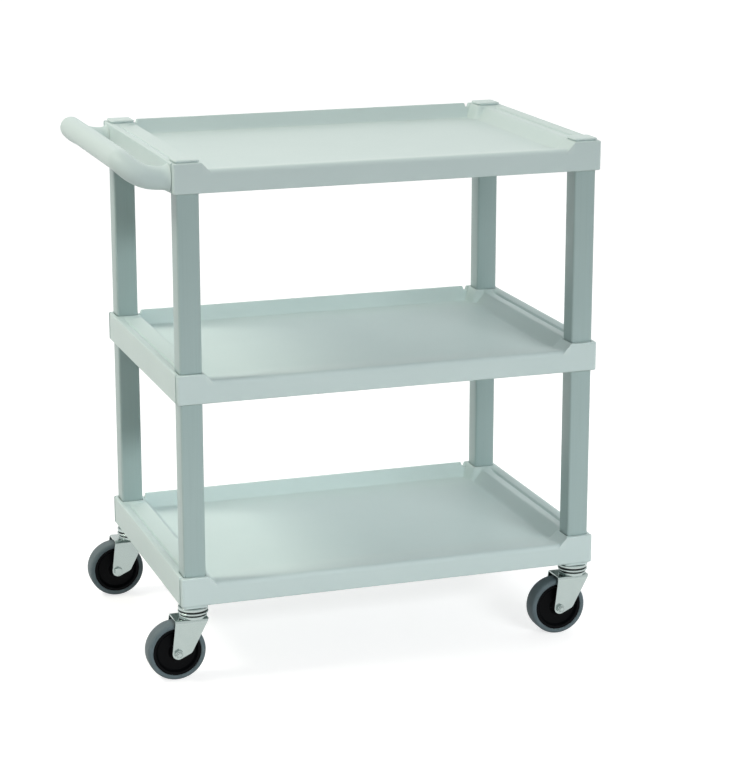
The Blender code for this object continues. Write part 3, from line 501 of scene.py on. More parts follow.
def square_ring(half, radius, z, steps=6):
    """A level ring round a square with rounded corners."""
    ring = []
    for quarter, (way_x, way_y) in enumerate(((1, 1), (-1, 1), (-1, -1), (1, -1))):
        for step in range(steps + 1):
            angle = (quarter + step / steps) * math.pi / 2
            x = way_x * (half - radius) + radius * math.cos(angle)
            y = way_y * (half - radius) + radius * math.sin(angle)
            ring.append(Vector((x, y, z)))
    return ring


def loft(rings, name, closed=False):
    """A closed skin over a row of rings, capped at both ends or joined from the last ring to the first."""
    bm = bmesh.new()
    rows = [[bm.verts.new(point * MM) for point in ring] for ring in rings]
    pairs = list(zip(rows, rows[1:]))
    if closed:
        pairs.append((rows[-1], rows[0]))
    else:
        bm.faces.new(rows[0])
        bm.faces.new(rows[-1])
    for low, high in pairs:
        for i in range(len(low)):
            j = (i + 1) % len(low)
            bm.faces.new((low[i], low[j], high[j], high[i]))
    bmesh.ops.recalc_face_normals(bm, faces=bm.faces)
    mesh = bpy.data.meshes.new(name)
    bm.to_mesh(mesh)
    bm.free()
    return mesh


bore = POST_HALF - POST_WALL
spigot_end = -WEB_TOP - POST_SEAT + SPIGOT_RISE
tube = loft([
    square_ring(POST_HALF - SPIGOT_STEP, POST_ROUND - SPIGOT_STEP, 0),
    square_ring(POST_HALF - SPIGOT_STEP, POST_ROUND - SPIGOT_STEP, spigot_end),
    square_ring(POST_HALF - POST_BEVEL, POST_ROUND - POST_BEVEL, spigot_end),
    square_ring(POST_HALF, POST_ROUND, spigot_end + POST_BEVEL),
    square_ring(POST_HALF, POST_ROUND, POST_LENGTH),
    square_ring(bore, POST_ROUND - POST_WALL, POST_LENGTH),
    square_ring(bore, POST_ROUND - POST_WALL, 0),
], "post", closed=True)
for level, below in (("lower", "bottom"), ("upper", "middle")):
    for corner, (x, y) in CORNERS.items():
        add_piece(f"corner_post_{level}_{corner}", tube, extruded_pvc, "trolley",
                  [f"{level}_post_{corner}"], (x, y, RIMS[below] + WEB_TOP + POST_SEAT))


# Post caps: low square buttons with a plug that snaps into the top shelf's open sockets.
# Moulded in the shelves' polypropylene; the overhanging plate leaves a dark line at its foot.
CAP_HALF = 21.1
CAP_RISE = 5.0
CAP_SEAT = 0.3
CAP_FOOT = 1.9
CAP_EDGE = 0.3
CAP_PLUG = 10.0
CAP_PLUG_TAPER = 0.3
CAP_CROWN = 0.5

plate_round = POST_ROUND + CAP_HALF - SOCKET_HALF
rings = [
    square_ring(POST_HALF - CAP_PLUG_TAPER, POST_ROUND, -CAP_PLUG),
    square_ring(POST_HALF, POST_ROUND, CAP_SEAT),
    square_ring(POST_HALF, POST_ROUND, CAP_FOOT),
    square_ring(CAP_HALF - CAP_EDGE, plate_round - CAP_EDGE, CAP_FOOT),
]
for angle in range(0, 91, 15):
    inset = RIM_ROUND * (1 - math.cos(math.radians(angle)))
    rise = CAP_RISE - CAP_CROWN - RIM_ROUND * (1 - math.sin(math.radians(angle)))
    rings.append(square_ring(CAP_HALF - inset, plate_round - inset, rise))
for share in (0.75, 0.5, 0.2):
    half = (CAP_HALF - RIM_ROUND) * share
    rise = CAP_RISE - CAP_CROWN * share * share
    rings.append(square_ring(half, (plate_round - RIM_ROUND) * share, rise))
button = loft(rings, "post_cap")
for corner, (x, y) in CORNERS.items():
    add_piece(f"snap_cap_{corner}", button, polypropylene, "trolley", [f"post_cap_{corner}"],
              (x, y, RIMS["top"]))


# Push handle: one round bar whose arms leave the end wall level, then sweep up and round.
# Blow moulded in the shelves' polypropylene, flared at both ends and held by a screw in each arm.
HANDLE_OUT = 71.0
HANDLE_RADIUS = 19.0
HANDLE_SIDES = 48
HANDLE_BEND = 38.0
HANDLE_BEND_STEPS = 24
HANDLE_RISE = 26.5
HANDLE_SWEEP = 3.0
HANDLE_GAP = 0.3
FLARE = 4.4
FLARE_LENGTH = 12.0
FLARE_POINTS = 9
ARM_INSET = 31.0
ARM_FROM = 14.0
ARM_POINTS = 6


def new_tree(name, inputs):
    """A geometry tree with named inputs, given with its input and output nodes."""
    tree = bpy.data.node_groups.new(name, "GeometryNodeTree")
    tree.interface.new_socket("Geometry", in_out="INPUT", socket_type="NodeSocketGeometry")
    for label, kind in inputs.items():
        tree.interface.new_socket(label, in_out="INPUT", socket_type=kind)
    tree.interface.new_socket("Geometry", in_out="OUTPUT", socket_type="NodeSocketGeometry")
    return tree, add_node(tree, "NodeGroupInput"), add_node(tree, "NodeGroupOutput")


def grown_mesh(source, tree, values):
    """The plain mesh that a geometry tree makes of an object, which is then removed."""
    scene_objects = bpy.context.scene.collection.objects
    scene_objects.link(source)
    modifier = source.modifiers.new("grow", "NODES")
    modifier.node_group = tree
    for item in tree.interface.items_tree:
        if item.in_out == "INPUT" and item.name in values:
            modifier[item.identifier] = values[item.name]
    graph = bpy.context.evaluated_depsgraph_get()
    mesh = bpy.data.meshes.new_from_object(source.evaluated_get(graph))
    source.modifiers.clear()
    bpy.data.objects.remove(source)
    return mesh


arm_y = WIDTH / 2 - ARM_INSET
bend_from = HANDLE_OUT - HANDLE_BEND
flare = np.linspace(HANDLE_GAP, FLARE_LENGTH, FLARE_POINTS)
straight = np.linspace(ARM_FROM, bend_from, ARM_POINTS)
half_line = [(out, arm_y) for out in (*flare, *straight[:-1])]
for step in range(HANDLE_BEND_STEPS + 1):
    angle = step / HANDLE_BEND_STEPS * math.pi / 2
    out = bend_from + HANDLE_BEND * math.sin(angle)
    half_line.append((out, arm_y - HANDLE_BEND * (1 - math.cos(angle))))
line = half_line + [(out, -y) for out, y in reversed(half_line)]
path = bpy.data.curves.new("handle_line", "CURVE")
path.dimensions = "3D"
spline = path.splines.new("POLY")
spline.points.add(len(line) - 1)
for point, (out, y) in zip(spline.points, line):
    rise = HANDLE_RISE * ((out / HANDLE_OUT) ** HANDLE_SWEEP - 1)
    point.co = ((SHELF_X - LENGTH / 2 - out) * MM, y * MM, (RIMS["top"] + rise) * MM, 1)
    spread = max(1 - out / FLARE_LENGTH, 0) ** 2 * FLARE
    point.radius = 1 + spread / HANDLE_RADIUS

tree, given, result = new_tree("sweep a round bar", {
    "Bar radius": "NodeSocketFloat", "Sides": "NodeSocketInt", "Finish": "NodeSocketMaterial",
})
section = add_node(tree, "GeometryNodeCurvePrimitiveCircle", {
    "Resolution": given.outputs["Sides"], "Radius": given.outputs["Bar radius"],
})
swept = add_node(tree, "GeometryNodeCurveToMesh", {
    "Curve": given.outputs["Geometry"], "Profile Curve": section.outputs["Curve"],
    "Scale": add_node(tree, "GeometryNodeInputRadius").outputs["Radius"], "Fill Caps": True,
})
whole = add_node(tree, "GeometryNodeRealizeInstances", {"Geometry": swept.outputs["Mesh"]})
finished = add_node(tree, "GeometryNodeSetMaterial", {
    "Geometry": whole.outputs["Geometry"], "Material": given.outputs["Finish"],
})
tree.links.new(finished.outputs["Geometry"], result.inputs["Geometry"])
bar = grown_mesh(bpy.data.objects.new("handle_line", path), tree, {
    "Bar radius": HANDLE_RADIUS * MM, "Sides": HANDLE_SIDES, "Finish": polypropylene,
})
add_piece("handle_bar", bar, polypropylene, "trolley", ["push_handle"], sharp=60.0)


# Zinc-plated fittings: the handle's screws, and everything in the casters that is steel.
# The screws sit inside the top sockets, under the caps, so their CAD shapes stay.

# Bright zinc plate on pressed steel: a cool grey mirror, softened by the sheet's rolled texture and
# faintly clouded by its passivation; fine rolling lines, drawn 1.5 mm apart, run along the sheet.
zinc_plate, tree, shader, place = new_material("bright zinc-plated steel", Metallic=1.0)
cloud = add_node(tree, "ShaderNodeTexNoise", {"Vector": place, "Scale": 1 / (12 * MM), "Detail": 4.0})
tint = add_node(tree, "ShaderNodeMix", {
    MIX_SHARE: cloud.outputs["Fac"], MIX_FIRST: linear("#A9B5B3"), MIX_SECOND: linear("#B4C0BD"),
}, data_type="RGBA")
tree.links.new(tint.outputs[MIX_RESULT], shader.inputs["Base Color"])
rolled = add_node(tree, "ShaderNodeMapping", {"Vector": place, "Scale": (0.08, 1.0, 1.0)})
lines = add_node(tree, "ShaderNodeTexNoise", {
    "Vector": rolled.outputs["Vector"], "Scale": 1 / (1.5 * MM), "Detail": 3.0,
})
dull = add_node(tree, "ShaderNodeMapRange", {
    "Value": cloud.outputs["Fac"], "From Min": 0.3, "From Max": 0.7, "To Min": 0.18, "To Max": 0.26,
})
tree.links.new(dull.outputs["Result"], shader.inputs["Roughness"])
relief = add_node(tree, "ShaderNodeBump", {
    "Height": lines.outputs["Fac"], "Strength": 0.10, "Distance": 0.2 * MM,
})
tree.links.new(relief.outputs["Normal"], shader.inputs["Normal"])


def dress(node, material):
    """Give a CAD node that keeps its shape a finished material."""
    for slot in frame["nodes"][node].material_slots:
        slot.material = material


for node in ("handle_screw_front", "handle_screw_back"):
    dress(node, zinc_plate)


# Caster stems: a nylon socket pushed into each bottom collar grips a turned steel stem with a bearing cup.
# The sockets are hidden but for their rim, so their CAD shapes stay. Black rings lie in the cup's
# neck and below its flange, where they close the gap to the fork's race: painted shade, dark stand-ins for
# these gaps' shadow.
CUP_BOTTOM = 113.6746
CUP_TOP = 125.4746
CUP_GAP = 0.3
CUP_RADIUS = 26.0
DISH_RADIUS = 21.0
DISH_MOUTH = 22.5
DISH_DEPTH = 1.5
FLANGE = 3.5
FLANGE_ROUND = 1.2
NECK_DEPTH = 2.8
NECK_INSET = 2.6
DRUM_INSET = 0.4
STEM_RADIUS = 5.5
STEM_LENGTH = 36.0
PIN_RADIUS = 5.0
RIVET_RADIUS = 9.0
RIVET_TOP = 104.1746
RIVET_DEPTH = 4.0
RACE_TOP = 111.1746
# Sizes of the black rings of painted shade in the cup's gaps.
SHADE_RING_INSIDE = 20.7
SHADE_RING_ROUND = 0.3
NECK_SHADE_RING_INSET = 2.0
RACE_SHADE_RING_RADIUS = 23.3
RACE_SHADE_RING_LIFT = 0.4
RACE_SHADE_RING_GAP = 0.05

# Black nylon: glass-filled, so a dull black with a fine pale fleck, about 0.3 mm, drawn at 1.5 mm.
black_nylon, tree, shader, place = new_material("glass-filled nylon", IOR=1.53, Specular_IOR_Level=0.25)
fleck = add_node(tree, "ShaderNodeTexNoise", {"Vector": place, "Scale": 1 / (1.5 * MM), "Detail": 3.0})
skin = add_node(tree, "ShaderNodeMix", {
    MIX_SHARE: fleck.outputs["Fac"], MIX_FIRST: linear("#0C0D0F"), MIX_SECOND: linear("#1B1C1F"),
}, data_type="RGBA")
tree.links.new(skin.outputs[MIX_RESULT], shader.inputs["Base Color"])
dull = add_node(tree, "ShaderNodeMapRange", {
    "Value": fleck.outputs["Fac"], "To Min": 0.45, "To Max": 0.65,
})
tree.links.new(dull.outputs["Result"], shader.inputs["Roughness"])


def filleted(corners, steps=4):
    """A profile of (radius, height) points from corners of (radius, height, fillet)."""
    profile = []
    count = len(corners)
    for i, (r, z, fillet) in enumerate(corners):
        here = Vector((r, z))
        if fillet <= 0:
            profile.append((r, z))
            continue
        to_last = (Vector(corners[i - 1][:2]) - here).normalized()
        to_next = (Vector(corners[(i + 1) % count][:2]) - here).normalized()
        half = to_last.angle(to_next) / 2
        reach = fillet / math.tan(half)
        centre = here + (to_last + to_next).normalized() * fillet / math.sin(half)
        start = here + to_last * reach - centre
        sweep = start.angle_signed(here + to_next * reach - centre)
        for step in range(steps + 1):
            angle = -sweep * step / steps
            turned = Matrix.Rotation(angle, 2) @ start
            profile.append(tuple(centre + turned))
    return profile


def turned_mesh(profiles, name, steps=56, along_y=False):
    """Closed profiles of (radius, height) turned about Z, then laid along Y if asked."""
    bm = bmesh.new()
    for profile in profiles:
        rows = []
        for step in range(steps):
            angle = step / steps * 2 * math.pi
            way = Vector((math.cos(angle), math.sin(angle), 0))
            rows.append([bm.verts.new((way * r + Vector((0, 0, z))) * MM) for r, z in profile])
        for row, following in zip(rows, rows[1:] + rows[:1]):
            for i in range(len(row)):
                j = (i + 1) % len(row)
                bm.faces.new((row[i], following[i], following[j], row[j]))
    bmesh.ops.remove_doubles(bm, verts=bm.verts, dist=MERGE * MM)
    bmesh.ops.dissolve_degenerate(bm, edges=bm.edges, dist=MERGE * MM / 10)
    bmesh.ops.recalc_face_normals(bm, faces=bm.faces)
    if along_y:
        bmesh.ops.rotate(bm, verts=bm.verts, matrix=Matrix.Rotation(-math.pi / 2, 3, "X"))
    mesh = bpy.data.meshes.new(name)
    bm.to_mesh(mesh)
    bm.free()
    return mesh


flange_top = CUP_BOTTOM + FLANGE
drum_low = flange_top + NECK_DEPTH
drum_top = CUP_TOP - CUP_GAP
neck_radius = CUP_RADIUS - NECK_INSET
drum_radius = CUP_RADIUS - DRUM_INSET
cup = turned_mesh([filleted([
    (0, RIVET_TOP - RIVET_DEPTH, 0),
    (RIVET_RADIUS, RIVET_TOP - RIVET_DEPTH, 2.2),
    (RIVET_RADIUS, RIVET_TOP, 0.3),
    (PIN_RADIUS, RIVET_TOP, 0),
    (PIN_RADIUS, CUP_BOTTOM + DISH_DEPTH, 0),
    (DISH_RADIUS, CUP_BOTTOM + DISH_DEPTH, 0.5),
    (DISH_MOUTH, CUP_BOTTOM, 0.4),
    (CUP_RADIUS, CUP_BOTTOM, FLANGE_ROUND),
    (CUP_RADIUS, flange_top, FLANGE_ROUND),
    (neck_radius, flange_top, 0.4),
    (neck_radius, drum_low, 0.4),
    (drum_radius, drum_low, 0.8),
    (drum_radius, drum_top, 2.2),
    (STEM_RADIUS, drum_top, 0),
    (STEM_RADIUS, CUP_TOP + STEM_LENGTH, 1.0),
    (0, CUP_TOP + STEM_LENGTH, 0),
])], "swivel_cup")
# Black rings in the cup's neck and under its flange: painted shade standing in for the dark of these gaps.
shade_ring_profiles = []
for outer, low, high in (
    (RACE_SHADE_RING_RADIUS, RACE_TOP + RACE_SHADE_RING_LIFT, CUP_BOTTOM - RACE_SHADE_RING_GAP),
    (CUP_RADIUS - NECK_SHADE_RING_INSET, flange_top, drum_low),
):
    corners = ((SHADE_RING_INSIDE, low), (outer, low), (outer, high), (SHADE_RING_INSIDE, high))
    shade_ring_profiles.append(filleted([(r, z, SHADE_RING_ROUND) for r, z in corners]))
shade_ring = turned_mesh(shade_ring_profiles, "painted_shade_ring")
for corner, (x, y) in CORNERS.items():
    dress(f"stem_socket_{corner}", black_nylon)
    # Painted shade: a black ring in each caster's bearing gaps.
    add_piece(f"painted_shade_ring_{corner}", shade_ring, black_nylon, "trolley", [], (x, y, 0))
    add_piece(f"swivel_cup_{corner}", cup, zinc_plate, "trolley", [f"caster_stem_{corner}"],
              (x, y, 0))


# Swivel balls: a nearly full ring of loose balls between the cup and the fork's raised race.
# Hardened steel, hidden but for a glint in the gap; they roll round with the fork.
BALL_RADIUS = 3.0
BALL_CIRCLE = 17.0
BALL_COUNT = 15
BALL_LEVEL = 112.4246
BALL_SUBDIVISIONS = 3

tree, given, result = new_tree("ring of balls", {
    "Ring radius": "NodeSocketFloat", "Count": "NodeSocketInt", "Ball radius": "NodeSocketFloat",
    "Finish": "NodeSocketMaterial",
})
ring = add_node(tree, "GeometryNodeCurvePrimitiveCircle", {
    "Resolution": given.outputs["Count"], "Radius": given.outputs["Ring radius"],
})
ball = add_node(tree, "GeometryNodeMeshIcoSphere", {
    "Radius": given.outputs["Ball radius"], "Subdivisions": BALL_SUBDIVISIONS,
})
row = add_node(tree, "GeometryNodeInstanceOnPoints", {
    "Points": ring.outputs["Curve"], "Instance": ball.outputs["Mesh"],
})
whole = add_node(tree, "GeometryNodeRealizeInstances", {"Geometry": row.outputs["Instances"]})
finished = add_node(tree, "GeometryNodeSetMaterial", {
    "Geometry": whole.outputs["Geometry"], "Material": given.outputs["Finish"],
})
tree.links.new(finished.outputs["Geometry"], result.inputs["Geometry"])
balls = grown_mesh(bpy.data.objects.new("balls", bpy.data.meshes.new("balls")), tree, {
    "Ring radius": BALL_CIRCLE * MM, "Count": BALL_COUNT, "Ball radius": BALL_RADIUS * MM,
    "Finish": zinc_plate,
})
for corner, (x, y) in CORNERS.items():
    add_piece(f"swivel_balls_{corner}", balls, zinc_plate, f"caster_{corner}", [f"ball_ring_{corner}"],
              (x, y, BALL_LEVEL))


# Caster forks: each a U pressed from 2.7 mm steel sheet, with a raised race on its crown.
# Zinc plated after pressing; the sheared edges are slightly rounded and the bends catch the light.
TRAIL = 32.0
AXLE_Z = 50.1746
FORK_HALF = 23.7
SHEET = 2.7
SHEAR_ROUND = 0.45
SHEAR_ANGLE = 50.0
FORK_BEND = 5.0
FORK_BEND_STEPS = 8
CROWN_TOP = 107.1746
CROWN_TAIL = -36.0
CROWN_NOSE = 21.5
CROWN_LINES = (-12.0, -6.0)
EYE_RADIUS = 10.5
EYE_TURNS = range(6, 90, 7)
HEEL_X = -14.5
HEEL_Z = 55.6746
HEEL_RADIUS = 8.0
OUTLINE_STEPS = 96
LEG_LINES = 14
LEG_FROM = 1.0
FORK_COLUMNS = 14
UNDER_EDGE = 1e-4
PIN_GAP = 0.3
RACE_RADIUS = 23.5
RACE_EDGE = 0.6
RACE_CROWN = 3.0
RACE_STEP = 0.2
TRACK_HALF = 3.0
TRACK_FOOT_HALF = 1.5
TRACK_DEPTH = 2.0


def fork_outline():
    """The fork's outline from the side, as a convex polygon of (x, z) points."""
    points = [(CROWN_TAIL, CROWN_TOP), (CROWN_NOSE, CROWN_TOP)]
    for x, z, radius in ((-TRAIL, AXLE_Z, EYE_RADIUS), (HEEL_X, HEEL_Z, HEEL_RADIUS)):
        for step in range(OUTLINE_STEPS):
            angle = step / OUTLINE_STEPS * 2 * math.pi
            points.append((x + radius * math.cos(angle), z + radius * math.sin(angle)))
    return [points[i] for i in convex_hull_2d(points)]


def width_at(outline, z):
    """Where a level line enters and leaves an outline."""
    crossings = []
    for (xa, za), (xb, zb) in zip(outline, outline[1:] + outline[:1]):
        if (za - z) * (zb - z) <= 0 and za != zb:
            crossings.append(xa + (xb - xa) * (z - za) / (zb - za))
    return min(crossings), max(crossings)


def fork_section():
    """The folded sheet seen from its end, as (y, z) points from foot to foot over the crown."""
    leg = [AXLE_Z - EYE_RADIUS * math.cos(math.radians(a)) for a in EYE_TURNS]
    leg += list(np.linspace(AXLE_Z + LEG_FROM, CROWN_TOP - FORK_BEND, LEG_LINES))
    half = [(-FORK_HALF, z) for z in leg]
    for step in range(1, FORK_BEND_STEPS + 1):
        angle = step / FORK_BEND_STEPS * math.pi / 2
        y = -FORK_HALF + FORK_BEND * (1 - math.cos(angle))
        half.append((y, CROWN_TOP - FORK_BEND * (1 - math.sin(angle))))
    half += [(y, CROWN_TOP) for y in CROWN_LINES]
    return half + [(0, CROWN_TOP)] + [(-y, z) for y, z in reversed(half)]


def fork_mesh():
    """The pressed sheet as a grid folded over the crown, given its thickness, with the race on top."""
    outline = fork_outline()
    shares = [0.5 - 0.5 * math.cos(math.pi * i / FORK_COLUMNS) for i in range(FORK_COLUMNS + 1)]
    bm = bmesh.new()
    rows = []
    for y, z in fork_section():
        low, high = width_at(outline, min(z, CROWN_TOP - UNDER_EDGE))
        rows.append([bm.verts.new(Vector((low + (high - low) * s, y, z)) * MM) for s in shares])
    for row, following in zip(rows, rows[1:]):
        for i in range(FORK_COLUMNS):
            bm.faces.new((row[i], row[i + 1], following[i + 1], following[i]))
    sheet = bpy.data.meshes.new("fork_sheet")
    bm.to_mesh(sheet)
    bm.free()
    folded = bpy.data.objects.new("fork_sheet", sheet)
    bpy.context.scene.collection.objects.link(folded)
    wall = folded.modifiers.new("wall", "SOLIDIFY")
    wall.thickness = SHEET * MM
    wall.offset = -1.0
    wall.use_even_offset = True
    shear = folded.modifiers.new("shear", "BEVEL")
    shear.width = SHEAR_ROUND * MM
    shear.segments = 2
    shear.limit_method = "ANGLE"
    shear.angle_limit = math.radians(SHEAR_ANGLE)
    graph = bpy.context.evaluated_depsgraph_get()
    pressed = bpy.data.meshes.new_from_object(folded.evaluated_get(graph))
    bpy.data.objects.remove(folded)
    race = turned_mesh([filleted([
        (PIN_RADIUS + PIN_GAP, CROWN_TOP - SHEET / 2, 0),
        (RACE_RADIUS, CROWN_TOP - SHEET / 2, 0),
        (RACE_RADIUS, RACE_TOP - RACE_EDGE, 1.6),
        (RACE_RADIUS - RACE_CROWN, RACE_TOP, 0.6),
        (BALL_CIRCLE + TRACK_HALF, RACE_TOP - RACE_STEP, 0.4),
        (BALL_CIRCLE + TRACK_FOOT_HALF, RACE_TOP - TRACK_DEPTH, 0.5),
        (BALL_CIRCLE - TRACK_FOOT_HALF, RACE_TOP - TRACK_DEPTH, 0.5),
        (BALL_CIRCLE - TRACK_HALF, RACE_TOP - RACE_STEP, 0.4),
        (PIN_RADIUS + PIN_GAP, RACE_TOP - RACE_STEP, 0),
    ])], "race")
    bm = bmesh.new()
    bm.from_mesh(pressed)
    bm.from_mesh(race)
    bm.to_mesh(pressed)
    bm.free()
    return pressed


fork = fork_mesh()
for corner, (x, y) in CORNERS.items():
    add_piece(f"pressed_fork_{corner}", fork, zinc_plate, f"caster_{corner}", [f"fork_{corner}"],
              (x, y, 0), sharp=30.0)


# Axles: a hexagon bolt through each fork, its lock nut on the side that faces away from the trolley.
# Zinc-plated stock fasteners; the spacer tube that the wheel turns on keeps its CAD shape.
AXLE_RADIUS = 4.0
FORK_FACE = 24.0
HEX = 13.0
HEX_CORNER = 1.16
HEX_CONE = 0.2
HEAD_DEPTH = 5.5
HEAD_EDGE = 0.3
CHAMFER = 1.0
TIP = 1.5
NUT_DEPTH = 7.5
NUT_BORE_GAP = 0.3
NUT_COLLAR = 2.2
NUT_COLLAR_ROUND = ((2.0, 0.0), (1.3, 0.3), (1.0, 0.9), (0.9, NUT_COLLAR))
NUT_CHAMFER = 0.6


def hex_ring(across, cone, z, sides=48):
    """A hexagon across its flats, cut back to a round cone where that is smaller."""
    ring = []
    for side in range(sides):
        angle = side / sides * 2 * math.pi
        lean = (angle + math.pi / 6) % (math.pi / 3) - math.pi / 6
        radius = min(across / 2 / math.cos(lean), cone)
        ring.append(Vector((radius * math.cos(angle), radius * math.sin(angle), z)))
    return ring


def chamfered_hex(share, z):
    """A ring of the hexagon's chamfer, from none of its corners cut away to all of them."""
    return hex_ring(HEX, HEX / 2 * (HEX_CORNER - HEX_CONE * share), z)


def round_ring(radius, z):
    """A level circle with as many points as a hexagon's ring."""
    return hex_ring(4 * radius, radius, z)


def lay_along_y(mesh):
    """Turn a mesh made along Z so that it lies along Y."""
    mesh.transform(Matrix.Rotation(-math.pi / 2, 4, "X"))
    return mesh


head_end = FORK_FACE + HEAD_DEPTH
nut_end = -FORK_FACE - NUT_DEPTH
bolt_rings = [
    round_ring(AXLE_RADIUS - CHAMFER, nut_end - TIP),
    round_ring(AXLE_RADIUS, nut_end - TIP + CHAMFER),
    round_ring(AXLE_RADIUS, FORK_FACE),
    round_ring(HEX / 2 - HEAD_EDGE, FORK_FACE),
    hex_ring(HEX, HEX, FORK_FACE + HEAD_EDGE),
]
for share in (0.0, 0.33, 0.67, 1.0):
    bolt_rings.append(chamfered_hex(share, head_end - CHAMFER * (1 - share)))
bolt = lay_along_y(loft(bolt_rings, "axle_bolt"))
nut_bore = AXLE_RADIUS + NUT_BORE_GAP
nut_rings = [round_ring(nut_bore, nut_end)]
for inset, rise in NUT_COLLAR_ROUND:
    nut_rings.append(round_ring(HEX / 2 - inset, nut_end + rise))
for share in (1.0, 0.5, 0.0):
    nut_rings.append(chamfered_hex(share, nut_end + NUT_COLLAR + NUT_CHAMFER * (1 - share)))
nut_rings += [hex_ring(HEX, HEX, -FORK_FACE), round_ring(nut_bore, -FORK_FACE)]
nut = lay_along_y(loft(nut_rings, "lock_nut", closed=True))
for corner, (x, y) in CORNERS.items():
    axle = (x - TRAIL, y, AXLE_Z)
    turn = math.pi if y > 0 else 0.0
    for name, mesh, node in (("hex_bolt", bolt, "axle_bolt"), ("lock_nut", nut, "axle_nut")):
        add_piece(f"{name}_{corner}", mesh, zinc_plate, f"caster_{corner}", [f"{node}_{corner}"],
                  axle, turn, sharp=30.0)
    dress(f"axle_sleeve_{corner}", zinc_plate)


# Wheels: a moulded core that turns on the spacer tube, with a soft tyre moulded round its rim.
# Black polypropylene core, slightly dished, and a grey non-marking rubber tyre.
WHEEL_RADIUS = 50.15
TYRE_HALF = 16.0
TYRE_INSIDE = 41.5
TYRE_SHOULDER = 5.0
TYRE_STEPS = 96
BEAD_WIDTH = 3.0
BEAD_DEPTH = 1.2
BEAD_EDGE_WIDTH = 0.8
BEAD_EDGE_DEPTH = 0.3
TREAD_CROWN = 0.4
TREAD_TAPER = 0.5
SEAM = 0.0001
CORE_RADIUS = 41.2
CORE_HALF = 14.5
CORE_STEPS = 72
CORE_RIM = 4.5
CORE_RIM_FOOT = 8.0
DISC_HALF = 9.5
DISC_DISH = 1.5
HUB_RADIUS = 13.0
HUB_HALF = 20.2
HUB_BORE = 6.3
HUB_FOOT = 1.5
HUB_CONE_INSET = 3.0
HUB_CONE_DEPTH = 6.0

# Black polypropylene: nearly black, half-gloss, with faint swirls from the gate at the hub.
black_core, tree, shader, place = new_material("black polypropylene", IOR=1.49, Specular_IOR_Level=0.06)
swirl = add_node(tree, "ShaderNodeTexNoise", {
    "Vector": place, "Scale": 1 / (8 * MM), "Detail": 4.0, "Distortion": 0.6,
})
skin = add_node(tree, "ShaderNodeMix", {
    MIX_SHARE: swirl.outputs["Fac"], MIX_FIRST: linear("#030405"), MIX_SECOND: linear("#090A0C"),
}, data_type="RGBA")
tree.links.new(skin.outputs[MIX_RESULT], shader.inputs["Base Color"])
gloss = add_node(tree, "ShaderNodeMapRange", {
    "Value": swirl.outputs["Fac"], "To Min": 0.34, "To Max": 0.56,
})
tree.links.new(gloss.outputs["Result"], shader.inputs["Roughness"])

# Grey rubber: a dull slate grey, finely pebbled (about 0.3 mm, drawn at 1.2 mm), paler where
# floor dust has settled in and the tread has rubbed.
grey_rubber, tree, shader, place = new_material("non-marking rubber", IOR=1.52)
pebble = add_node(tree, "ShaderNodeTexNoise", {"Vector": place, "Scale": 1 / (1.2 * MM), "Detail": 3.0})
dust = add_node(tree, "ShaderNodeTexNoise", {"Vector": place, "Scale": 1 / (14 * MM), "Detail": 4.0})
dusty = add_node(tree, "ShaderNodeMapRange", {
    "Value": dust.outputs["Fac"], "From Min": 0.45, "From Max": 0.75, "To Max": 0.4,
})
skin = add_node(tree, "ShaderNodeMix", {
    MIX_SHARE: dusty.outputs["Result"], MIX_FIRST: linear("#58666A"), MIX_SECOND: linear("#6C7A7F"),
}, data_type="RGBA")
tree.links.new(skin.outputs[MIX_RESULT], shader.inputs["Base Color"])
dull = add_node(tree, "ShaderNodeMapRange", {
    "Value": pebble.outputs["Fac"], "To Min": 0.58, "To Max": 0.8,
})
tree.links.new(dull.outputs["Result"], shader.inputs["Roughness"])
relief = add_node(tree, "ShaderNodeBump", {
    "Height": pebble.outputs["Fac"], "Strength": 0.15, "Distance": 0.2 * MM,
})
tree.links.new(relief.outputs["Normal"], shader.inputs["Normal"])


def mirrored(half):
    """A closed profile from its upper half of (radius, height, fillet) corners."""
    return filleted(half + [(r, -z, fillet) for r, z, fillet in reversed(half)], steps=5)


core = turned_mesh([mirrored([
    (HUB_BORE, HUB_HALF, 0.4),
    (HUB_RADIUS - HUB_CONE_INSET, HUB_HALF, 1.0),
    (HUB_RADIUS, HUB_HALF - HUB_CONE_DEPTH, 1.5),
    (HUB_RADIUS + HUB_FOOT, DISC_HALF, 2.0),
    (CORE_RADIUS - CORE_RIM_FOOT, DISC_HALF - DISC_DISH, 2.5),
    (CORE_RADIUS - CORE_RIM, CORE_HALF, 1.0),
    (CORE_RADIUS, CORE_HALF, 0.3),
])], "wheel_core", steps=CORE_STEPS, along_y=True)
tyre = turned_mesh([mirrored([
    (TYRE_INSIDE, TYRE_HALF - BEAD_DEPTH, 0.3),
    (TYRE_INSIDE + BEAD_EDGE_WIDTH, TYRE_HALF - BEAD_EDGE_DEPTH, 0.4),
    (TYRE_INSIDE + BEAD_WIDTH, TYRE_HALF, 0.8),
    (WHEEL_RADIUS - TREAD_CROWN, TYRE_HALF - TREAD_TAPER, TYRE_SHOULDER),
    (WHEEL_RADIUS, SEAM, 0),
])], "tyre", steps=TYRE_STEPS, along_y=True)
for corner, (x, y) in CORNERS.items():
    axle = (x - TRAIL, y, AXLE_Z)
    add_piece(f"wheel_disc_{corner}", core, black_core, f"wheel_{corner}", [f"wheel_core_{corner}"],
              axle)
    add_piece(f"wheel_tyre_{corner}", tyre, grey_rubber, f"wheel_{corner}", [f"tyre_{corner}"],
              axle)


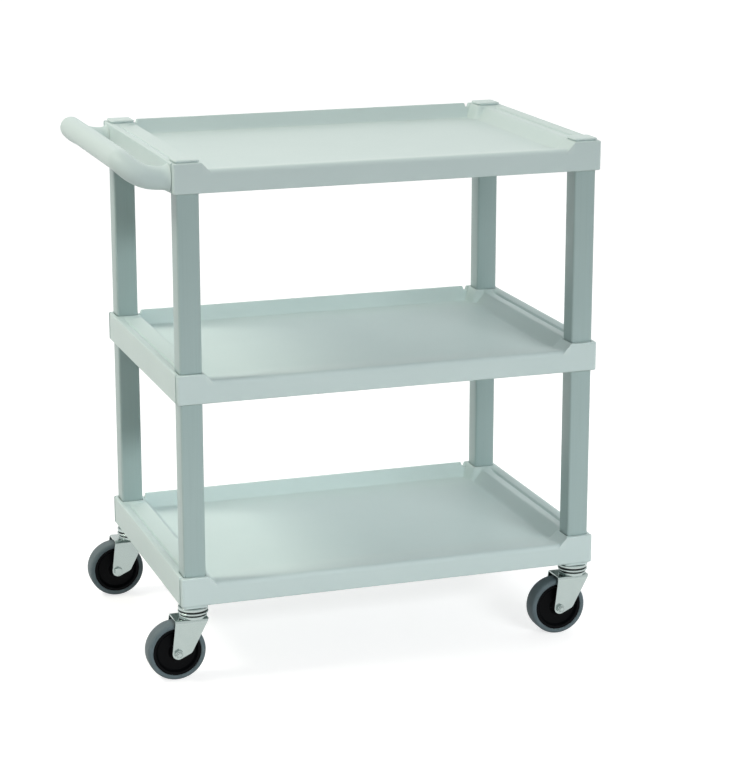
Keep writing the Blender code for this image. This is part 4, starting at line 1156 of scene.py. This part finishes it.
# Studio, in metres: a wide pale floor, a soft lamp high at the left, and a long low strip in front that
# shiny pieces don't mirror. The world is white to the camera and in mirrors, and lights the object most
# from behind. The camera stands at the left of the front and looks down on the shelves.
FLOOR_HALF = 30.0
FLOOR_GLOW = 0.68
BACKDROP_SIDE = (0.42, 0.91, -0.40)
BACKDROP_FROM = -0.2
BACKDROP_TO = 0.8
BACKDROP_DIM = 0.23
BACKDROP_BRIGHT = 2.0
CAMERA_EYE = (-1.2589, -3.9719, 1.5209)
CAMERA_YAW = 18.82
CAMERA_PITCH = 14.70
CAMERA_SENSOR = 36.0
CAMERA_LENS = 113.86
LAMPS = {
    "key": {
        "spot": (-4.0, 0.6, 4.7), "target": (0.0, 0.0, 0.45), "size": (1.8, 1.8), "spread": 180.0,
        "watts": 166.0, "tint": "#FCF8EA", "in mirrors": True,
    },
    "strip": {
        "spot": (0.8, -5.1, 2.5), "target": (0.0, -0.1, 0.0), "size": (4.0, 0.6), "spread": 34.0,
        "watts": 12.8, "tint": "#FBFDFF", "in mirrors": False,
    },
}


def looked_at(tree):
    """A value that is 1 to rays from the camera or a mirror, and 0 to the object's own light."""
    rays = add_node(tree, "ShaderNodeLightPath").outputs
    looked = add_node(tree, "ShaderNodeMath", {
        0: rays["Is Camera Ray"], 1: rays["Is Glossy Ray"],
    }, operation="MAXIMUM")
    return looked.outputs["Value"]


floor_mesh = bpy.data.meshes.new("floor")
corners = [(x * FLOOR_HALF, y * FLOOR_HALF, 0.0) for x, y in ((-1, -1), (1, -1), (1, 1), (-1, 1))]
floor_mesh.from_pydata(corners, [], [(0, 1, 2, 3)])
floor = bpy.data.objects.new("floor", floor_mesh)
bpy.context.scene.collection.objects.link(floor)
paper, tree, shader, _ = new_material(
    "white paper", Base_Color=linear("#BCBCBC"), Roughness=0.9, Emission_Color=(1, 1, 1, 1),
)
glow = add_node(tree, "ShaderNodeMath", {0: looked_at(tree), 1: FLOOR_GLOW}, operation="MULTIPLY")
tree.links.new(glow.outputs["Value"], shader.inputs["Emission Strength"])
floor_mesh.materials.append(paper)

world = bpy.data.worlds.new("studio")
bpy.context.scene.world = world
world.use_nodes = True
tree = world.node_tree
backdrop = tree.nodes["Background"]
backdrop.inputs["Color"].default_value = (1, 1, 1, 1)
way = add_node(tree, "ShaderNodeVectorMath", {
    0: add_node(tree, "ShaderNodeTexCoord").outputs["Generated"], 1: BACKDROP_SIDE,
}, operation="DOT_PRODUCT")
sweep = add_node(tree, "ShaderNodeMapRange", {
    "Value": way.outputs["Value"], "From Min": BACKDROP_FROM, "From Max": BACKDROP_TO,
    "To Min": BACKDROP_DIM, "To Max": BACKDROP_BRIGHT,
})
light = add_node(tree, "ShaderNodeMapRange", {
    "Value": looked_at(tree), "To Min": sweep.outputs["Result"], "To Max": 1.0,
})
tree.links.new(light.outputs["Result"], backdrop.inputs["Strength"])

for name, setting in LAMPS.items():
    lamp = bpy.data.lights.new(name, "AREA")
    lamp.shape = "RECTANGLE"
    lamp.size, lamp.size_y = setting["size"]
    lamp.spread = math.radians(setting["spread"])
    lamp.energy = setting["watts"]
    lamp.color = linear(setting["tint"])[:3]
    holder = bpy.data.objects.new(name, lamp)
    bpy.context.scene.collection.objects.link(holder)
    holder.location = setting["spot"]
    holder.visible_glossy = setting["in mirrors"]
    aim = Vector(setting["target"]) - Vector(setting["spot"])
    holder.rotation_euler = aim.to_track_quat("-Z", "Y").to_euler()

camera = bpy.data.objects.new("camera", bpy.data.cameras.new("camera"))
bpy.context.scene.collection.objects.link(camera)
camera.location = CAMERA_EYE
camera.rotation_euler = (math.pi / 2 - math.radians(CAMERA_PITCH), 0, -math.radians(CAMERA_YAW))
camera.data.sensor_width = CAMERA_SENSOR
camera.data.lens = CAMERA_LENS
bpy.context.scene.camera = camera
bpy.context.scene.view_settings.view_transform = "Standard"
